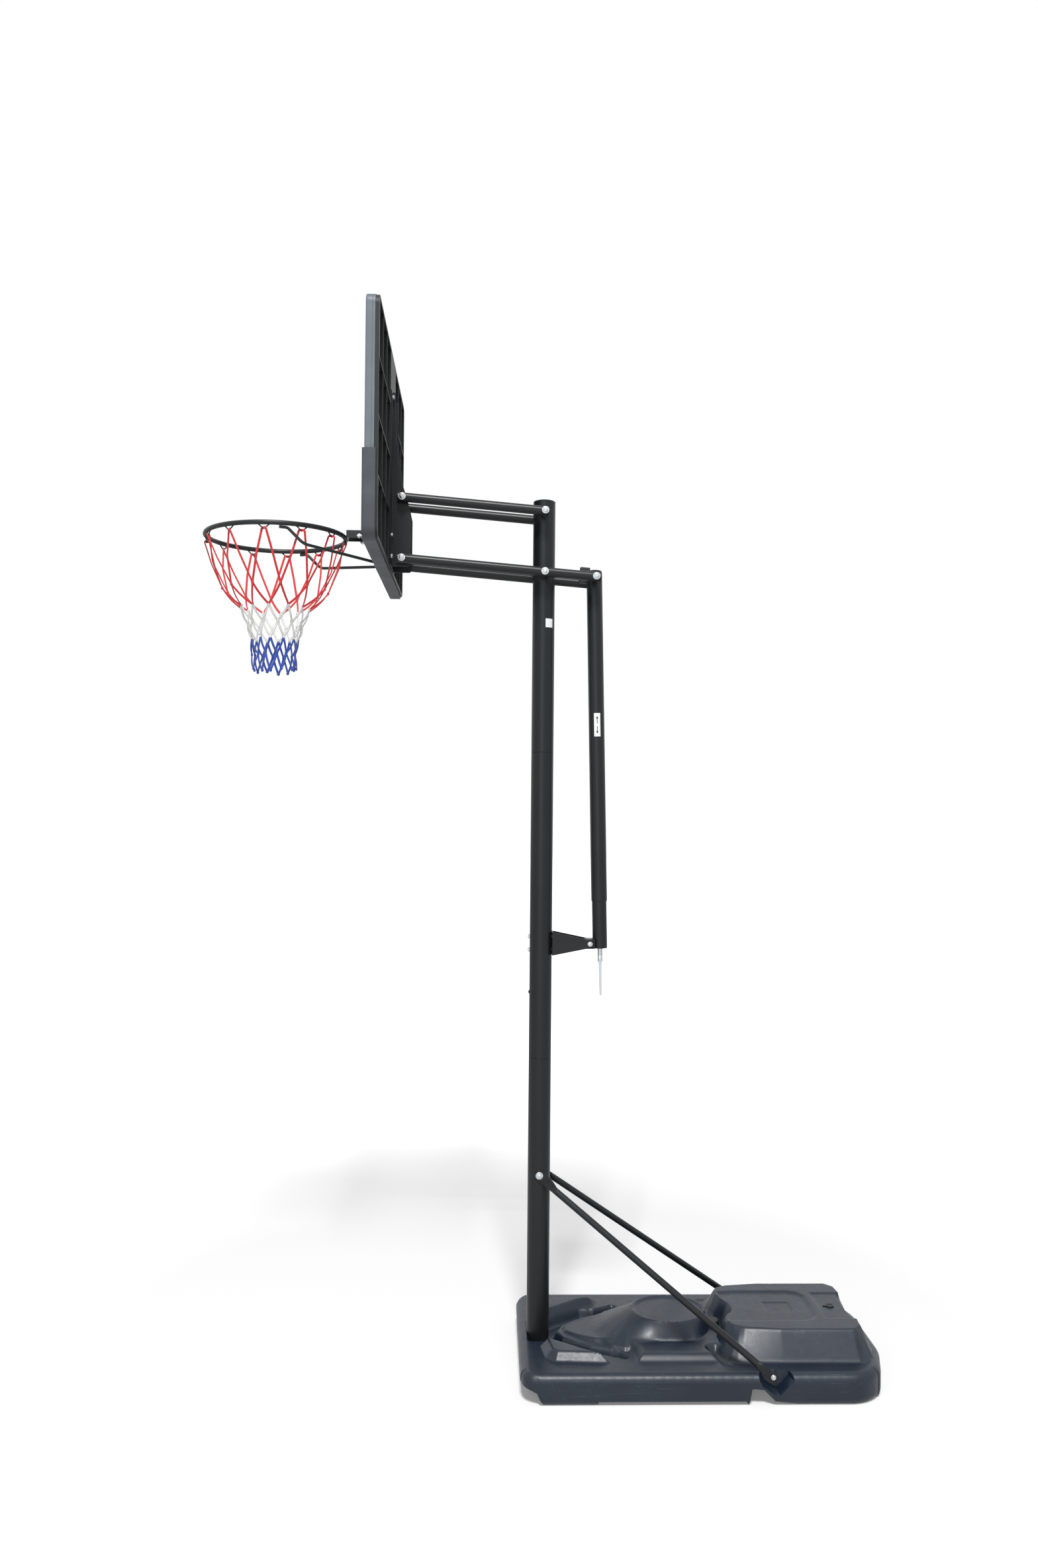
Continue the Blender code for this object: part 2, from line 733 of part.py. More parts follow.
def tank_form(name, skin, paint, parent, level=None):
    """The tank's shape, drawn in all round by a skin thickness.

    With no skin it is the outside. Drawn in by the wall it is the hollow, and the water
    is drawn in a little more and cut off at its level.
    """
    body = stacked(
        name,
        inset(tank_outline(), skin),
        (
            (skin, 0.020),
            (0.016, 0.003),
            (0.040, 0.0),
            (0.066, 0.0),
            (0.084 - skin * 0.4, 0.005),
            (0.094 - skin * 0.8, 0.014),
            (TANK_DECK_Z - skin, 0.027),
        ),
        paint,
        parent,
    )

    def add(label, outline, low, high, slope):
        levels = ((low, 0.0), (high - skin, slope * (high - skin - low) / (high - low)))
        piece = stacked(f"{name}_{label}", inset(outline, skin), levels, None, parent)
        join(body, piece)

    def sink(label, outline, floor, draft=0.0):
        levels = ((floor - skin, draft), (ABOVE_TANK_Z, 0.0))
        combine(body, stacked(f"{name}_{label}", inset(outline, -skin), levels, None, parent))

    low = TANK_DECK_Z - 0.02 - skin
    add("plateau", plateau_outline(), low, TANK_PLATEAU_Z, 0.028)
    add("shoulder_left", shoulder_outline(), low, TANK_SHOULDER_Z, 0.012)
    add("shoulder_right", mirrored(shoulder_outline()), low, TANK_SHOULDER_Z, 0.012)
    if level is None:
        foot = inset(mound_outline(MOUND_FOOT_RADIUS, MOUND_TAIL), skin)
        top = inset(mound_outline(MOUND_TOP_RADIUS, MOUND_TAIL_TOP), skin)
        rings = (
            [(x, y, low) for x, y in foot],
            [(x, y, TANK_MOUND_Z - skin) for x, y in top],
        )
        join(body, lofted(f"{name}_mound", rings, None, parent))
        add("block", block_outline(), low, TANK_BLOCK_Z, 0.034)
        dish = [(x + MOUND_X, y) for x, y, _ in disc(DISH_RADIUS, 0.0)]
        sink("dish", dish, TANK_MOUND_Z - DISH_DEPTH, 0.006)
        panel = rounded_rectangle(0.67, 0.91, 0.097, 0.025, 2)
        sink("panel", panel, TANK_BLOCK_Z - 0.005, 0.005)
        recess = rounded_rectangle(
            DRAIN_X - DRAIN_RECESS_FRONT, DRAIN_X + DRAIN_RECESS_BACK, 0.10, 0.01, 1
        )
        sink("drain_recess", recess, TANK_BLOCK_Z - 0.004, 0.004)
    sink("valley", valley_outline(), 0.066, 0.01)
    well = [(x, y) for x, y, _ in disc(snug(POLE_RADIUS + RUN_GAP, ROUND), 0.0)]
    sink("pole_well", well, WELL_FLOOR_Z)

    under = boxes(
        f"{name}_underside",
        (((0.18 - skin, -0.4, -0.1), (0.657 + skin, 0.4, 0.0135 + skin)),),
        parent,
    )
    combine(body, under)
    nose = [(TANK_FRONT_X - 0.03, -0.1), (-0.035, -0.1), (-0.035, 0.0),
            (TANK_FRONT_X, 0.045), (TANK_FRONT_X - 0.03, 0.045)]
    combine(body, side_profile(inset(nose, -skin), -0.4, 0.4, f"{name}_nose", parent))

    for side, label in ((-1, "left"), (1, "right")):
        fender = [(TANK_FRONT_X - 0.05, -0.1), (0.008, -0.1), (0.008, 0.0), (-0.006, 0.022),
                  (-0.014, 0.041), (-0.030, 0.049), (TANK_FRONT_X, 0.058),
                  (TANK_FRONT_X - 0.05, 0.058)]
        inner, outer = sorted((side * (FENDER_Y - skin), side * 0.4))
        combine(body, side_profile(inset(fender, -skin), inner, outer,
                                   f"{name}_fender_{label}", parent))
        pocket = [(0.655, 0.15), (0.701, 0.058), (0.744, 0.030), (0.757, 0.030),
                  (0.803, 0.078), (0.803, 0.15)]
        inner, outer = sorted((side * (POCKET_WALL_Y - skin), side * 0.4))
        combine(body, side_profile(inset(pocket, -skin), inner, outer,
                                   f"{name}_strut_pocket_{label}", parent))
        arch = [(0.655, -0.1), (0.83, -0.1), (0.83, 0.0), (0.775, 0.010), (0.742, 0.014),
                (0.703, 0.046), (0.680, 0.050)]
        inner, outer = sorted((side * (0.22 - skin), side * 0.4))
        combine(body, side_profile(inset(arch, -skin), inner, outer,
                                   f"{name}_arch_{label}", parent))
        if not skin:
            boss = rod_cutter(
                f"{name}_strut_boss_{label}",
                POCKET_BOSS_RADIUS,
                (STRUT_FOOT[0], side * (POCKET_WALL_Y - 0.003), STRUT_FOOT[1]),
                (STRUT_FOOT[0], side * (STRUT_FOOT_Y - STRUT_TAB / 2 - SEAT_GAP), STRUT_FOOT[1]),
                parent,
            )
            join(body, boss)
        gap = WHEEL_WIDTH / 2 + 0.004
        low_y, high_y = sorted((side * (WHEEL_Y - gap - skin), side * (WHEEL_Y + gap + skin)))
        reach = WHEEL_RADIUS + 0.004
        well = ((WHEEL_X - reach - skin, low_y, -0.1),
                (WHEEL_X + reach + skin, high_y, WHEEL_Z + reach + skin))
        combine(body, boxes(f"{name}_wheel_well_{label}", (well,), parent))

        slot = AXLE_RADIUS + RUN_GAP + skin
        reach = WHEEL_WIDTH / 2 + AXLE_GRIP + RUN_GAP + skin
        low_y, high_y = side * WHEEL_Y - reach, side * WHEEL_Y + reach
        groove = ((WHEEL_X - slot, low_y, -0.1), (WHEEL_X + slot, high_y, WHEEL_Z + slot))
        combine(body, boxes(f"{name}_axle_groove_{label}", (groove,), parent))
    if level is not None:
        above = (((-0.5, -0.5, level), (1.5, 0.5, ABOVE_TANK_Z)),)
        combine(body, boxes(f"{name}_above_level", above, parent))
    return body


def disc(radius, height, sides=ROUND):
    """The points of a level circle, anticlockwise."""
    turn = 2 * pi / sides
    return [(radius * cos(i * turn), radius * sin(i * turn), height) for i in range(sides)]


def build_base(root):
    tank = tank_form("base_tank", 0.0, TANK_PLASTIC, root)
    combine(tank, tank_form("tank_hollow", TANK_WALL, None, root))
    for name, x, z, radius in (
        ("filler_hole", FILLER_X, TANK_PLATEAU_Z, FILLER_RADIUS),
        ("drain_hole", DRAIN_X, TANK_BLOCK_Z, DRAIN_RADIUS),
    ):
        start, end = (x, 0, z - 3 * TANK_WALL), (x, 0, z + 3 * TANK_WALL)
        combine(tank, rod_cutter(name, radius + RUN_GAP, start, end, root, ROUND))
    for side, label in ((-1, "left"), (1, "right")):
        start = (STRUT_FOOT[0], side * (POCKET_WALL_Y - 0.02), STRUT_FOOT[1])
        end = (STRUT_FOOT[0], side * (STRUT_FOOT_Y + 0.01), STRUT_FOOT[1])
        radius = SMALL_BOLT_RADIUS + BOLT_GAP
        combine(tank, rod_cutter(f"foot_bolt_hole_{label}", radius, start, end, root, HOLE_ROUND))
    tank_form("water_ballast", TANK_WALL + RUN_GAP, WATER, root, WATER_LEVEL_Z)


def build_wheels(root):
    length = WHEEL_WIDTH + 2 * AXLE_GRIP
    bore = snug(AXLE_RADIUS + RUN_GAP, 16)
    half = WHEEL_WIDTH / 2
    profile = (
        (bore, half),
        (WHEEL_RADIUS * 0.42, half),
        (WHEEL_RADIUS * 0.50, half - 0.008),
        (WHEEL_RADIUS * 0.78, half - 0.008),
        (WHEEL_RADIUS * 0.90, half),
        (WHEEL_RADIUS, half * 0.7),
        (WHEEL_RADIUS, -half * 0.7),
        (WHEEL_RADIUS * 0.90, -half),
        (WHEEL_RADIUS * 0.78, -half + 0.008),
        (WHEEL_RADIUS * 0.50, -half + 0.008),
        (WHEEL_RADIUS * 0.42, -half),
        (bore, -half),
    )
    for side, label in ((-1, "left"), (1, "right")):
        hub = pivot(f"wheel_axis_{label}", (WHEEL_X, side * WHEEL_Y, WHEEL_Z))
        wheel = turned(f"wheel_{label}", profile, TYRE_PLASTIC, hub, 16)
        aim(wheel, (0, 0, 0), (0, 1, 0))
        axle = lofted(f"wheel_axle_{label}",
                      (ring_of(AXLE_RADIUS, -length / 2), ring_of(AXLE_RADIUS, length / 2)),
                      ZINC, root)
        aim(axle, (WHEEL_X, side * WHEEL_Y, WHEEL_Z), (0, 1, 0))


def build_caps():
    """The filler cap on its threaded neck hole, and the drain plug with its pull tab."""
    axis = pivot("filler_cap_axis", (FILLER_X, 0, TANK_PLATEAU_Z + SEAT_GAP))
    radius, height = FILLER_CAP_RADIUS, FILLER_CAP_HEIGHT
    turned(
        "filler_cap",
        (
            (0, height),
            (radius - 0.004, height),
            (radius, height - 0.003),
            (radius, 0),
            (FILLER_RADIUS, 0),
            (FILLER_RADIUS, -TANK_WALL * 2),
            (FILLER_RADIUS - 0.003, -TANK_WALL * 2),
            (FILLER_RADIUS - 0.003, -0.001),
            (0, -0.001),
        ),
        BLACK_PLASTIC,
        axis,
        closed=False,
    )
    floor = TANK_BLOCK_Z - 0.004
    axis = pivot("drain_plug_axis", (DRAIN_X, 0, floor + SEAT_GAP))
    plug = turned(
        "drain_plug",
        (
            (0, 0.002),
            (0.007, 0.002),
            (0.008, 0.005),
            (0.0135, 0.005),
            (0.0145, 0.0035),
            (0.0145, 0),
            (DRAIN_RADIUS, 0),
            (DRAIN_RADIUS, -TANK_WALL * 2),
            (0, -TANK_WALL * 2),
        ),
        BLACK_PLASTIC,
        axis,
        SMALL_ROUND,
        closed=False,
    )
    tab = block("drain_tab", (-0.024, -0.0045, 0.0), (-0.010, 0.0045, 0.0032), None, axis)
    join(plug, tab)


# Pole


def pole_section(name, low, high, root, neck):
    """A pole tube from low to high whose neck, if any, slips into the tube below."""
    outer, inner = POLE_RADIUS, POLE_RADIUS - POLE_WALL
    profile = [(outer, high)]
    if neck:
        slip = inner - RUN_GAP
        seat = low + SEAT_GAP
        profile += [
            (outer, seat),
            (slip, seat),
            (slip, low - neck),
            (slip - POLE_WALL, low - neck),
            (slip - POLE_WALL, low),
            (inner, low + 0.01),
        ]
    else:
        profile += [(outer, low), (inner, low)]
    profile.append((inner, high))
    return turned(name, profile, POWDER_COAT, root)


def build_pole(root):
    lower = pole_section("pole_lower", POLE_FOOT_Z, POLE_LOW_JOINT_Z, root, 0)
    middle = pole_section(
        "pole_middle", POLE_LOW_JOINT_Z, POLE_HIGH_JOINT_Z, root, POLE_NECK_LENGTH
    )
    upper = pole_section("pole_upper", POLE_HIGH_JOINT_Z, POLE_TOP_Z, root, POLE_NECK_LENGTH)
    plug = POLE_RADIUS - POLE_WALL - RUN_GAP
    turned(
        "pole_cap",
        (
            (0, POLE_CAP_RISE),
            (POLE_RADIUS * 0.75, POLE_CAP_RISE * 0.9),
            (POLE_RADIUS, POLE_CAP_RISE * 0.25),
            (POLE_RADIUS, SEAT_GAP),
            (plug, SEAT_GAP),
            (plug, -POLE_CAP_PLUG),
            (0, -POLE_CAP_PLUG),
        ),
        BLACK_PLASTIC,
        root,
        closed=False,
    ).location.z = POLE_TOP_Z

    reach = 2 * POLE_RADIUS
    across, along = (0, 1, 0), (1, 0, 0)
    bolt_hole(lower, "strut_bolt_bore", (0, 0, STRUT_TOP_Z), across, reach, root)
    for i, rise in enumerate(BRACKET_BOLT_RISES):
        place = (0, 0, BRACKET_PIVOT[1] + rise)
        bolt_hole(middle, f"bracket_bolt_bore_{i}", place, along, reach, root)
    bore = snug(BOLT_RADIUS + BOLT_GAP, SMALL_ROUND)
    half = ARM_INNER_Y - SEAT_GAP
    for name, z in (("lower", ARM_PIVOT_Z), ("upper", ARM_PIVOT_Z + ARM_SPREAD)):
        place = (0, 0, z)
        bolt_hole(upper, f"{name}_sleeve_bore", place, across, reach, root, SLEEVE_RADIUS)
        through_bolt(f"{name}_arm_pivot_bolt", place, (0, -1, 0), ARM_OUTER_Y, ZINC, root)
        sleeve = tube(f"{name}_pivot_sleeve", SLEEVE_RADIUS, SLEEVE_RADIUS - bore, -half, half,
                      ZINC, root, SMALL_ROUND)
        aim(sleeve, place, across)


# Struts from the pole to the tank


def build_struts(root):
    top = POLE_RADIUS + SEAT_GAP + STRUT_TAB / 2
    foot = STRUT_FOOT_Y
    run = Vector((STRUT_FOOT[0], 0, STRUT_FOOT[1] - STRUT_TOP_Z))
    length, along = run.length, run.normalized()
    across = Vector((-along.z, 0, along.x))
    ankle = length - STRUT_KINK
    climb = (foot - STRUT_FOOT_BEND - STRUT_KINK_Y) / (ankle - STRUT_KINK)
    slope = Vector((along.x, climb, along.z)).normalized()

    def section(distance, y, half_u, half_v, v_axis):
        centre = Vector((0, y, STRUT_TOP_Z)) + along * distance
        turn = 2 * pi / SMALL_ROUND
        return [
            centre + across * half_u * cos(i * turn) + v_axis * half_v * sin(i * turn)
            for i in range(SMALL_ROUND)
        ]

    for side, label in ((-1, "left"), (1, "right")):
        square = Vector((0, 1, 0))
        tilted = Vector((slope.x, side * slope.y, slope.z)).cross(across)
        flat, tab, round_ = STRUT_TAB / 2, STRUT_TAB_HALF, STRUT_RADIUS
        sole = STRUT_FOOT_HALF
        if tilted.y < 0:
            tilted = -tilted
        rings = (
            section(-0.016, side * top, tab * 0.5, flat, square),
            section(-0.008, side * top, tab, flat, square),
            section(0.030, side * top, tab, flat, square),
            section(STRUT_KINK, side * STRUT_KINK_Y, round_, round_, tilted),
            section(ankle, side * (foot - STRUT_FOOT_BEND), round_, round_, tilted),
            section(length - 0.036, side * foot, sole, flat, square),
            section(length + 0.008, side * foot, sole, flat, square),
            section(length + 0.016, side * foot, sole * 0.5, flat, square),
        )
        strut = lofted(f"strut_{label}", rings, POWDER_COAT, root)
        bolt_hole(strut, f"strut_top_hole_{label}", (0, side * top, STRUT_TOP_Z), (0, 1, 0),
                  0.02, root)
        foot_place = (STRUT_FOOT[0], side * foot, STRUT_FOOT[1])
        bolt_hole(strut, f"strut_foot_hole_{label}", foot_place, (0, 1, 0), 0.02, root,
                  SMALL_BOLT_RADIUS)
        seat = foot + STRUT_TAB / 2 + SEAT_GAP
        rings = (
            ring_of(SMALL_BOLT_RADIUS, POCKET_WALL_Y - 0.95 * TANK_WALL),
            ring_of(SMALL_BOLT_RADIUS, seat),
            ring_of(SMALL_WASHER_RADIUS, seat),
            ring_of(SMALL_WASHER_RADIUS, seat + WASHER_THICKNESS),
            hexagon(SMALL_BOLT_FLATS, seat + WASHER_THICKNESS),
            hexagon(SMALL_BOLT_FLATS, seat + WASHER_THICKNESS + 0.005),
        )
        bolt = lofted(f"strut_foot_bolt_{label}", rings, ZINC, root)
        aim(bolt, (STRUT_FOOT[0], 0, STRUT_FOOT[1]), (0, side, 0))
    through_bolt("strut_top_bolt", (0, 0, STRUT_TOP_Z), (0, -1, 0),
                 POLE_RADIUS + SEAT_GAP + STRUT_TAB, ZINC, root)


# Jack bracket


def build_jack_bracket(root):
    """A channel on the back of the pole whose ears hold the foot of the jack."""
    x, z = BRACKET_PIVOT
    web = BRACKET_WEB_X
    tip = BRACKET_END_RADIUS
    slope = atan2(BRACKET_ROOT_HALF - tip, x - web)
    arc = [
        (x + tip * cos(a), z + tip * sin(a))
        for a in (-pi / 2 + slope + i * (pi - 2 * slope) / 8 for i in range(9))
    ]
    root_x = POLE_RADIUS + SEAT_GAP
    start = root_x + SEAT_GAP
    outline = [(start, z - BRACKET_ROOT_HALF)] + arc + [(start, z + BRACKET_ROOT_HALF)]
    half = BRACKET_EAR_INNER + BRACKET_GAUGE
    middle = BRACKET_EAR_INNER + BRACKET_GAUGE / 2
    web_half = BRACKET_ROOT_HALF - SEAT_GAP
    bracket = block(
        "jack_bracket",
        (root_x, -middle, z - web_half),
        (web, middle, z + web_half),
        POWDER_COAT,
        root,
    )
    for side, label in ((-1, "left"), (1, "right")):
        ear = upright_plate(f"ear_{label}", outline, side * middle, BRACKET_GAUGE, None, root)
        join(bracket, ear)
    hole = SMALL_BOLT_RADIUS + BOLT_GAP
    combine(bracket, rod_cutter("ear_bore", hole, (x, -0.05, z), (x, 0.05, z), root))
    for i, rise in enumerate(BRACKET_BOLT_RISES):
        place = (web, 0, z + rise)
        bolt_hole(bracket, f"bracket_web_hole_{i}", place, (1, 0, 0), 0.01, root,
                  SMALL_BOLT_RADIUS)
        through_bolt(f"jack_bracket_bolt_{i + 1}", ((web - POLE_RADIUS) / 2, 0, z + rise),
                     (-1, 0, 0), (web + POLE_RADIUS) / 2, ZINC, root, small=True)

    outer = half + SEAT_GAP
    rings = (
        ring_of(SMALL_BOLT_RADIUS, PIVOT_STUB_END),
        ring_of(SMALL_BOLT_RADIUS, outer),
        ring_of(SMALL_WASHER_RADIUS, outer),
        ring_of(SMALL_WASHER_RADIUS, outer + WASHER_THICKNESS),
        hexagon(SMALL_BOLT_FLATS, outer + WASHER_THICKNESS),
        hexagon(SMALL_BOLT_FLATS, outer + WASHER_THICKNESS + 0.005),
    )
    for side, label in ((-1, "left"), (1, "right")):
        bolt = lofted(f"jack_pivot_bolt_{label}", rings, ZINC, root)
        aim(bolt, (x, 0, z), (0, side, 0))


# Arms


def arm(name, side, rear_end, bolts, parent):
    """An arm tube along the parent's X, with a cross hole for each bolt."""
    front = -(ARM_REACH + ARM_END_FRONT)
    piece = tube(name, ARM_RADIUS, ARM_WALL, 0, rear_end - front, POWDER_COAT, parent, 16)
    y = side * ARM_OFFSET_Y
    aim(piece, (front, y, 0), (1, 0, 0))
    for i, x in enumerate(bolts):
        bolt_hole(piece, f"{name}_hole_{i}", (x, y, 0), (0, 1, 0), 2 * ARM_RADIUS, parent)
    return piece


def build_arms(lower, upper):
    for side, label in ((-1, "left"), (1, "right")):
        rear = ARM_REAR_REACH + ARM_END_FRONT
        arm(f"lower_arm_{label}", side, rear, (-ARM_REACH, 0, ARM_REAR_REACH), lower)
        arm(f"upper_arm_{label}", side, ARM_END_REAR, (-ARM_REACH, 0), upper)
    rear_place = (ARM_REAR_REACH, 0, 0)
    through_bolt("jack_top_bolt", rear_place, (0, -1, 0), ARM_OUTER_Y, ZINC, lower)
    front, back = (ARM_REAR_REACH + x for x in STOP_BLOCK_X)
    low, high = STOP_BLOCK_Z
    far = ARM_INNER_Y - SEAT_GAP
    block("arm_stop_block", (front, STOP_BLOCK_Y, low), (back, far, high), BLACK_PLASTIC,
          lower, 0.002)


# Screw jack


def build_jack(outer_axis, inner_axis, spindle_axis, fold_axis):
    """Outer tube, sliding inner tube, lifting screw and folding crank, all along local Z."""
    radius, wall = JACK_TUBE_RADIUS, JACK_TUBE_WALL
    outer = turned(
        "jack_outer_tube",
        (
            (0, JACK_TUBE_TOP),
            (radius * 0.8, JACK_TUBE_TOP),
            (radius, JACK_TUBE_TOP - 0.005),
            (radius, -JACK_TUBE_DROP),
            (radius - wall, -JACK_TUBE_DROP),
            (radius - wall, JACK_TUBE_TOP - 0.008),
            (0, JACK_TUBE_TOP - 0.008),
        ),
        POWDER_COAT,
        outer_axis,
        closed=False,
    )
    half = ARM_INNER_Y - SEAT_GAP
    bm = bmesh.new()
    bmesh.ops.create_cone(
        bm, cap_ends=True, segments=SMALL_ROUND, radius1=SLEEVE_RADIUS, radius2=SLEEVE_RADIUS,
        depth=2 * half,
    )
    sleeve = aim(from_bmesh("jack_head_sleeve", bm, None, outer_axis), (0, 0, 0), (0, 1, 0))
    join(outer, sleeve)
    bolt_hole(outer, "jack_head_bore", (0, 0, 0), (0, 1, 0), 2 * half, outer_axis)

    nut_bore = snug(SCREW_RADIUS + RUN_GAP, SMALL_ROUND)
    nut_radius = radius - wall / 2
    nut = turned(
        "lifting_nut",
        (
            (nut_radius, -SCREW_NUT_TOP),
            (nut_radius, -SCREW_NUT_TOP - SCREW_NUT_HEIGHT),
            (nut_bore, -SCREW_NUT_TOP - SCREW_NUT_HEIGHT),
            (nut_bore, -SCREW_NUT_TOP),
        ),
        None,
        outer_axis,
    )
    join(outer, nut)

    rod, rod_wall = JACK_ROD_RADIUS, JACK_ROD_WALL
    neck = snug(SCREW_NECK_RADIUS + RUN_GAP, SMALL_ROUND)
    inner = turned(
        "jack_inner_tube",
        (
            (rod, -JACK_ROD_HEAD),
            (rod, -JACK_ROD_FOOT),
            (neck, -JACK_ROD_FOOT),
            (neck, -JACK_ROD_FOOT + JACK_FOOT_PLATE),
            (rod - rod_wall, -JACK_ROD_FOOT + JACK_FOOT_PLATE),
            (rod - rod_wall, -JACK_ROD_HEAD),
        ),
        POWDER_COAT,
        inner_axis,
    )
    build_lug(inner, inner_axis)

    foot = -JACK_ROD_FOOT
    collar = foot + JACK_FOOT_PLATE + SEAT_GAP
    below = foot - SEAT_GAP
    spindle = turned(
        "jack_screw",
        (
            (0, -SCREW_TOP),
            (SCREW_RADIUS * 0.7, -SCREW_TOP),
            (SCREW_RADIUS, -SCREW_TOP - 0.004),
            (SCREW_RADIUS, collar + SCREW_COLLAR),
            (0.012, collar + SCREW_COLLAR),
            (0.012, collar),
            (SCREW_NECK_RADIUS, collar),
            (SCREW_NECK_RADIUS, below),
            (FORK_RADIUS, below),
            (FORK_RADIUS, below - FORK_LENGTH),
            (0, below - FORK_LENGTH),
        ),
        ZINC,
        spindle_axis,
        SMALL_ROUND,
        closed=False,
    )
    pin_z = foot - HANDLE_PIN_DROP
    slot = FORK_SLOT / 2
    fork = boxes(
        "fork_slot",
        (((-0.02, -slot, below - FORK_LENGTH - 0.01), (0.02, slot, pin_z + 0.012)),),
        spindle_axis,
    )
    combine(spindle, fork)
    bore = HANDLE_PIN_RADIUS + BOLT_GAP / 2
    combine(spindle, rod_cutter("fork_pin_bore", bore, (0, -0.02, pin_z), (0, 0.02, pin_z),
                                spindle_axis))
    pin = (ring_of(HANDLE_PIN_RADIUS * 1.6, -FORK_RADIUS - 0.0015),
           ring_of(HANDLE_PIN_RADIUS * 1.6, -FORK_RADIUS - 0.0002),
           ring_of(HANDLE_PIN_RADIUS, -FORK_RADIUS - 0.0002),
           ring_of(HANDLE_PIN_RADIUS, FORK_RADIUS + 0.0002),
           ring_of(HANDLE_PIN_RADIUS * 1.6, FORK_RADIUS + 0.0002),
           ring_of(HANDLE_PIN_RADIUS * 1.6, FORK_RADIUS + 0.0015))
    aim(lofted("crank_pin", pin, ZINC, spindle_axis), (0, 0, pin_z), (0, 1, 0))

    half_width = HANDLE_WIDTH / 2
    ends = [(half_width * cos(a), half_width * sin(a)) for a in (i * pi / 6 for i in range(7))]
    drop = HANDLE_LENGTH - half_width
    outline = ends + [(-x * 0.75, -z * 0.75 - drop) for x, z in ends]
    handle = upright_plate("crank_handle", outline, 0, HANDLE_THICKNESS, ZINC, fold_axis)
    hole = HANDLE_PIN_RADIUS + BOLT_GAP / 2
    combine(handle, rod_cutter("handle_bore", hole, (0, -0.01, 0), (0, 0.01, 0), fold_axis))


def build_lug(inner, inner_axis):
    """A block on the inner tube's front, grooved on both sides for the ears' pivot bolts.

    The grooves run fore and aft, so the jack can follow the arc of the lower arms' rear
    ends, and they are open at the back, where the bolts pass beside the tube.
    """
    pivot_x, pivot_z = BRACKET_PIVOT
    local_z = (pivot_z - REAR_PIVOT[1]) / cos(JACK_LEAN)
    axis_x = REAR_PIVOT[0] + (REAR_PIVOT[1] - pivot_z) * sin(JACK_LEAN) / cos(JACK_LEAN)
    front = LUG_FRONT_X - axis_x
    half = LUG_HALF_WIDTH
    low, high = local_z - LUG_HEIGHT / 2, local_z + LUG_HEIGHT / 2
    join(inner, block("lug", (front, -half, low), (-JACK_ROD_RADIUS * 0.75, half, high),
                      None, inner_axis))
    hollow = JACK_ROD_RADIUS - JACK_ROD_WALL * 0.5
    combine(inner, rod_cutter("lug_hollow", hollow, (0, 0, low - 0.002), (0, 0, high + 0.002),
                              inner_axis, ROUND))
    grooves = [
        ((front - 0.02, min(side * LUG_GROOVE_FLOOR, side * 0.05), local_z - LUG_GROOVE_HALF),
         (0.03, max(side * LUG_GROOVE_FLOOR, side * 0.05), local_z + LUG_GROOVE_HALF))
        for side in (-1, 1)
    ]
    combine(inner, boxes("lug_grooves", grooves, inner_axis))


# Backboard


def board_outline(grow=0.0, arc_steps=4):
    """The board's outline in Y and Z, grown all round."""
    half = BOARD_WIDTH / 2 + grow
    low, high = BOARD_LOW_Z - grow, BOARD_LOW_Z + BOARD_HEIGHT + grow
    radius = max(BOARD_CORNER + grow, 0.006)
    corners = ((half, high), (-half, high), (-half, low), (half, low))
    return rounded([(y, z, radius) for y, z in corners], arc_steps)


def relative(outline, base_z):
    return [(y, z - base_z) for y, z in outline]


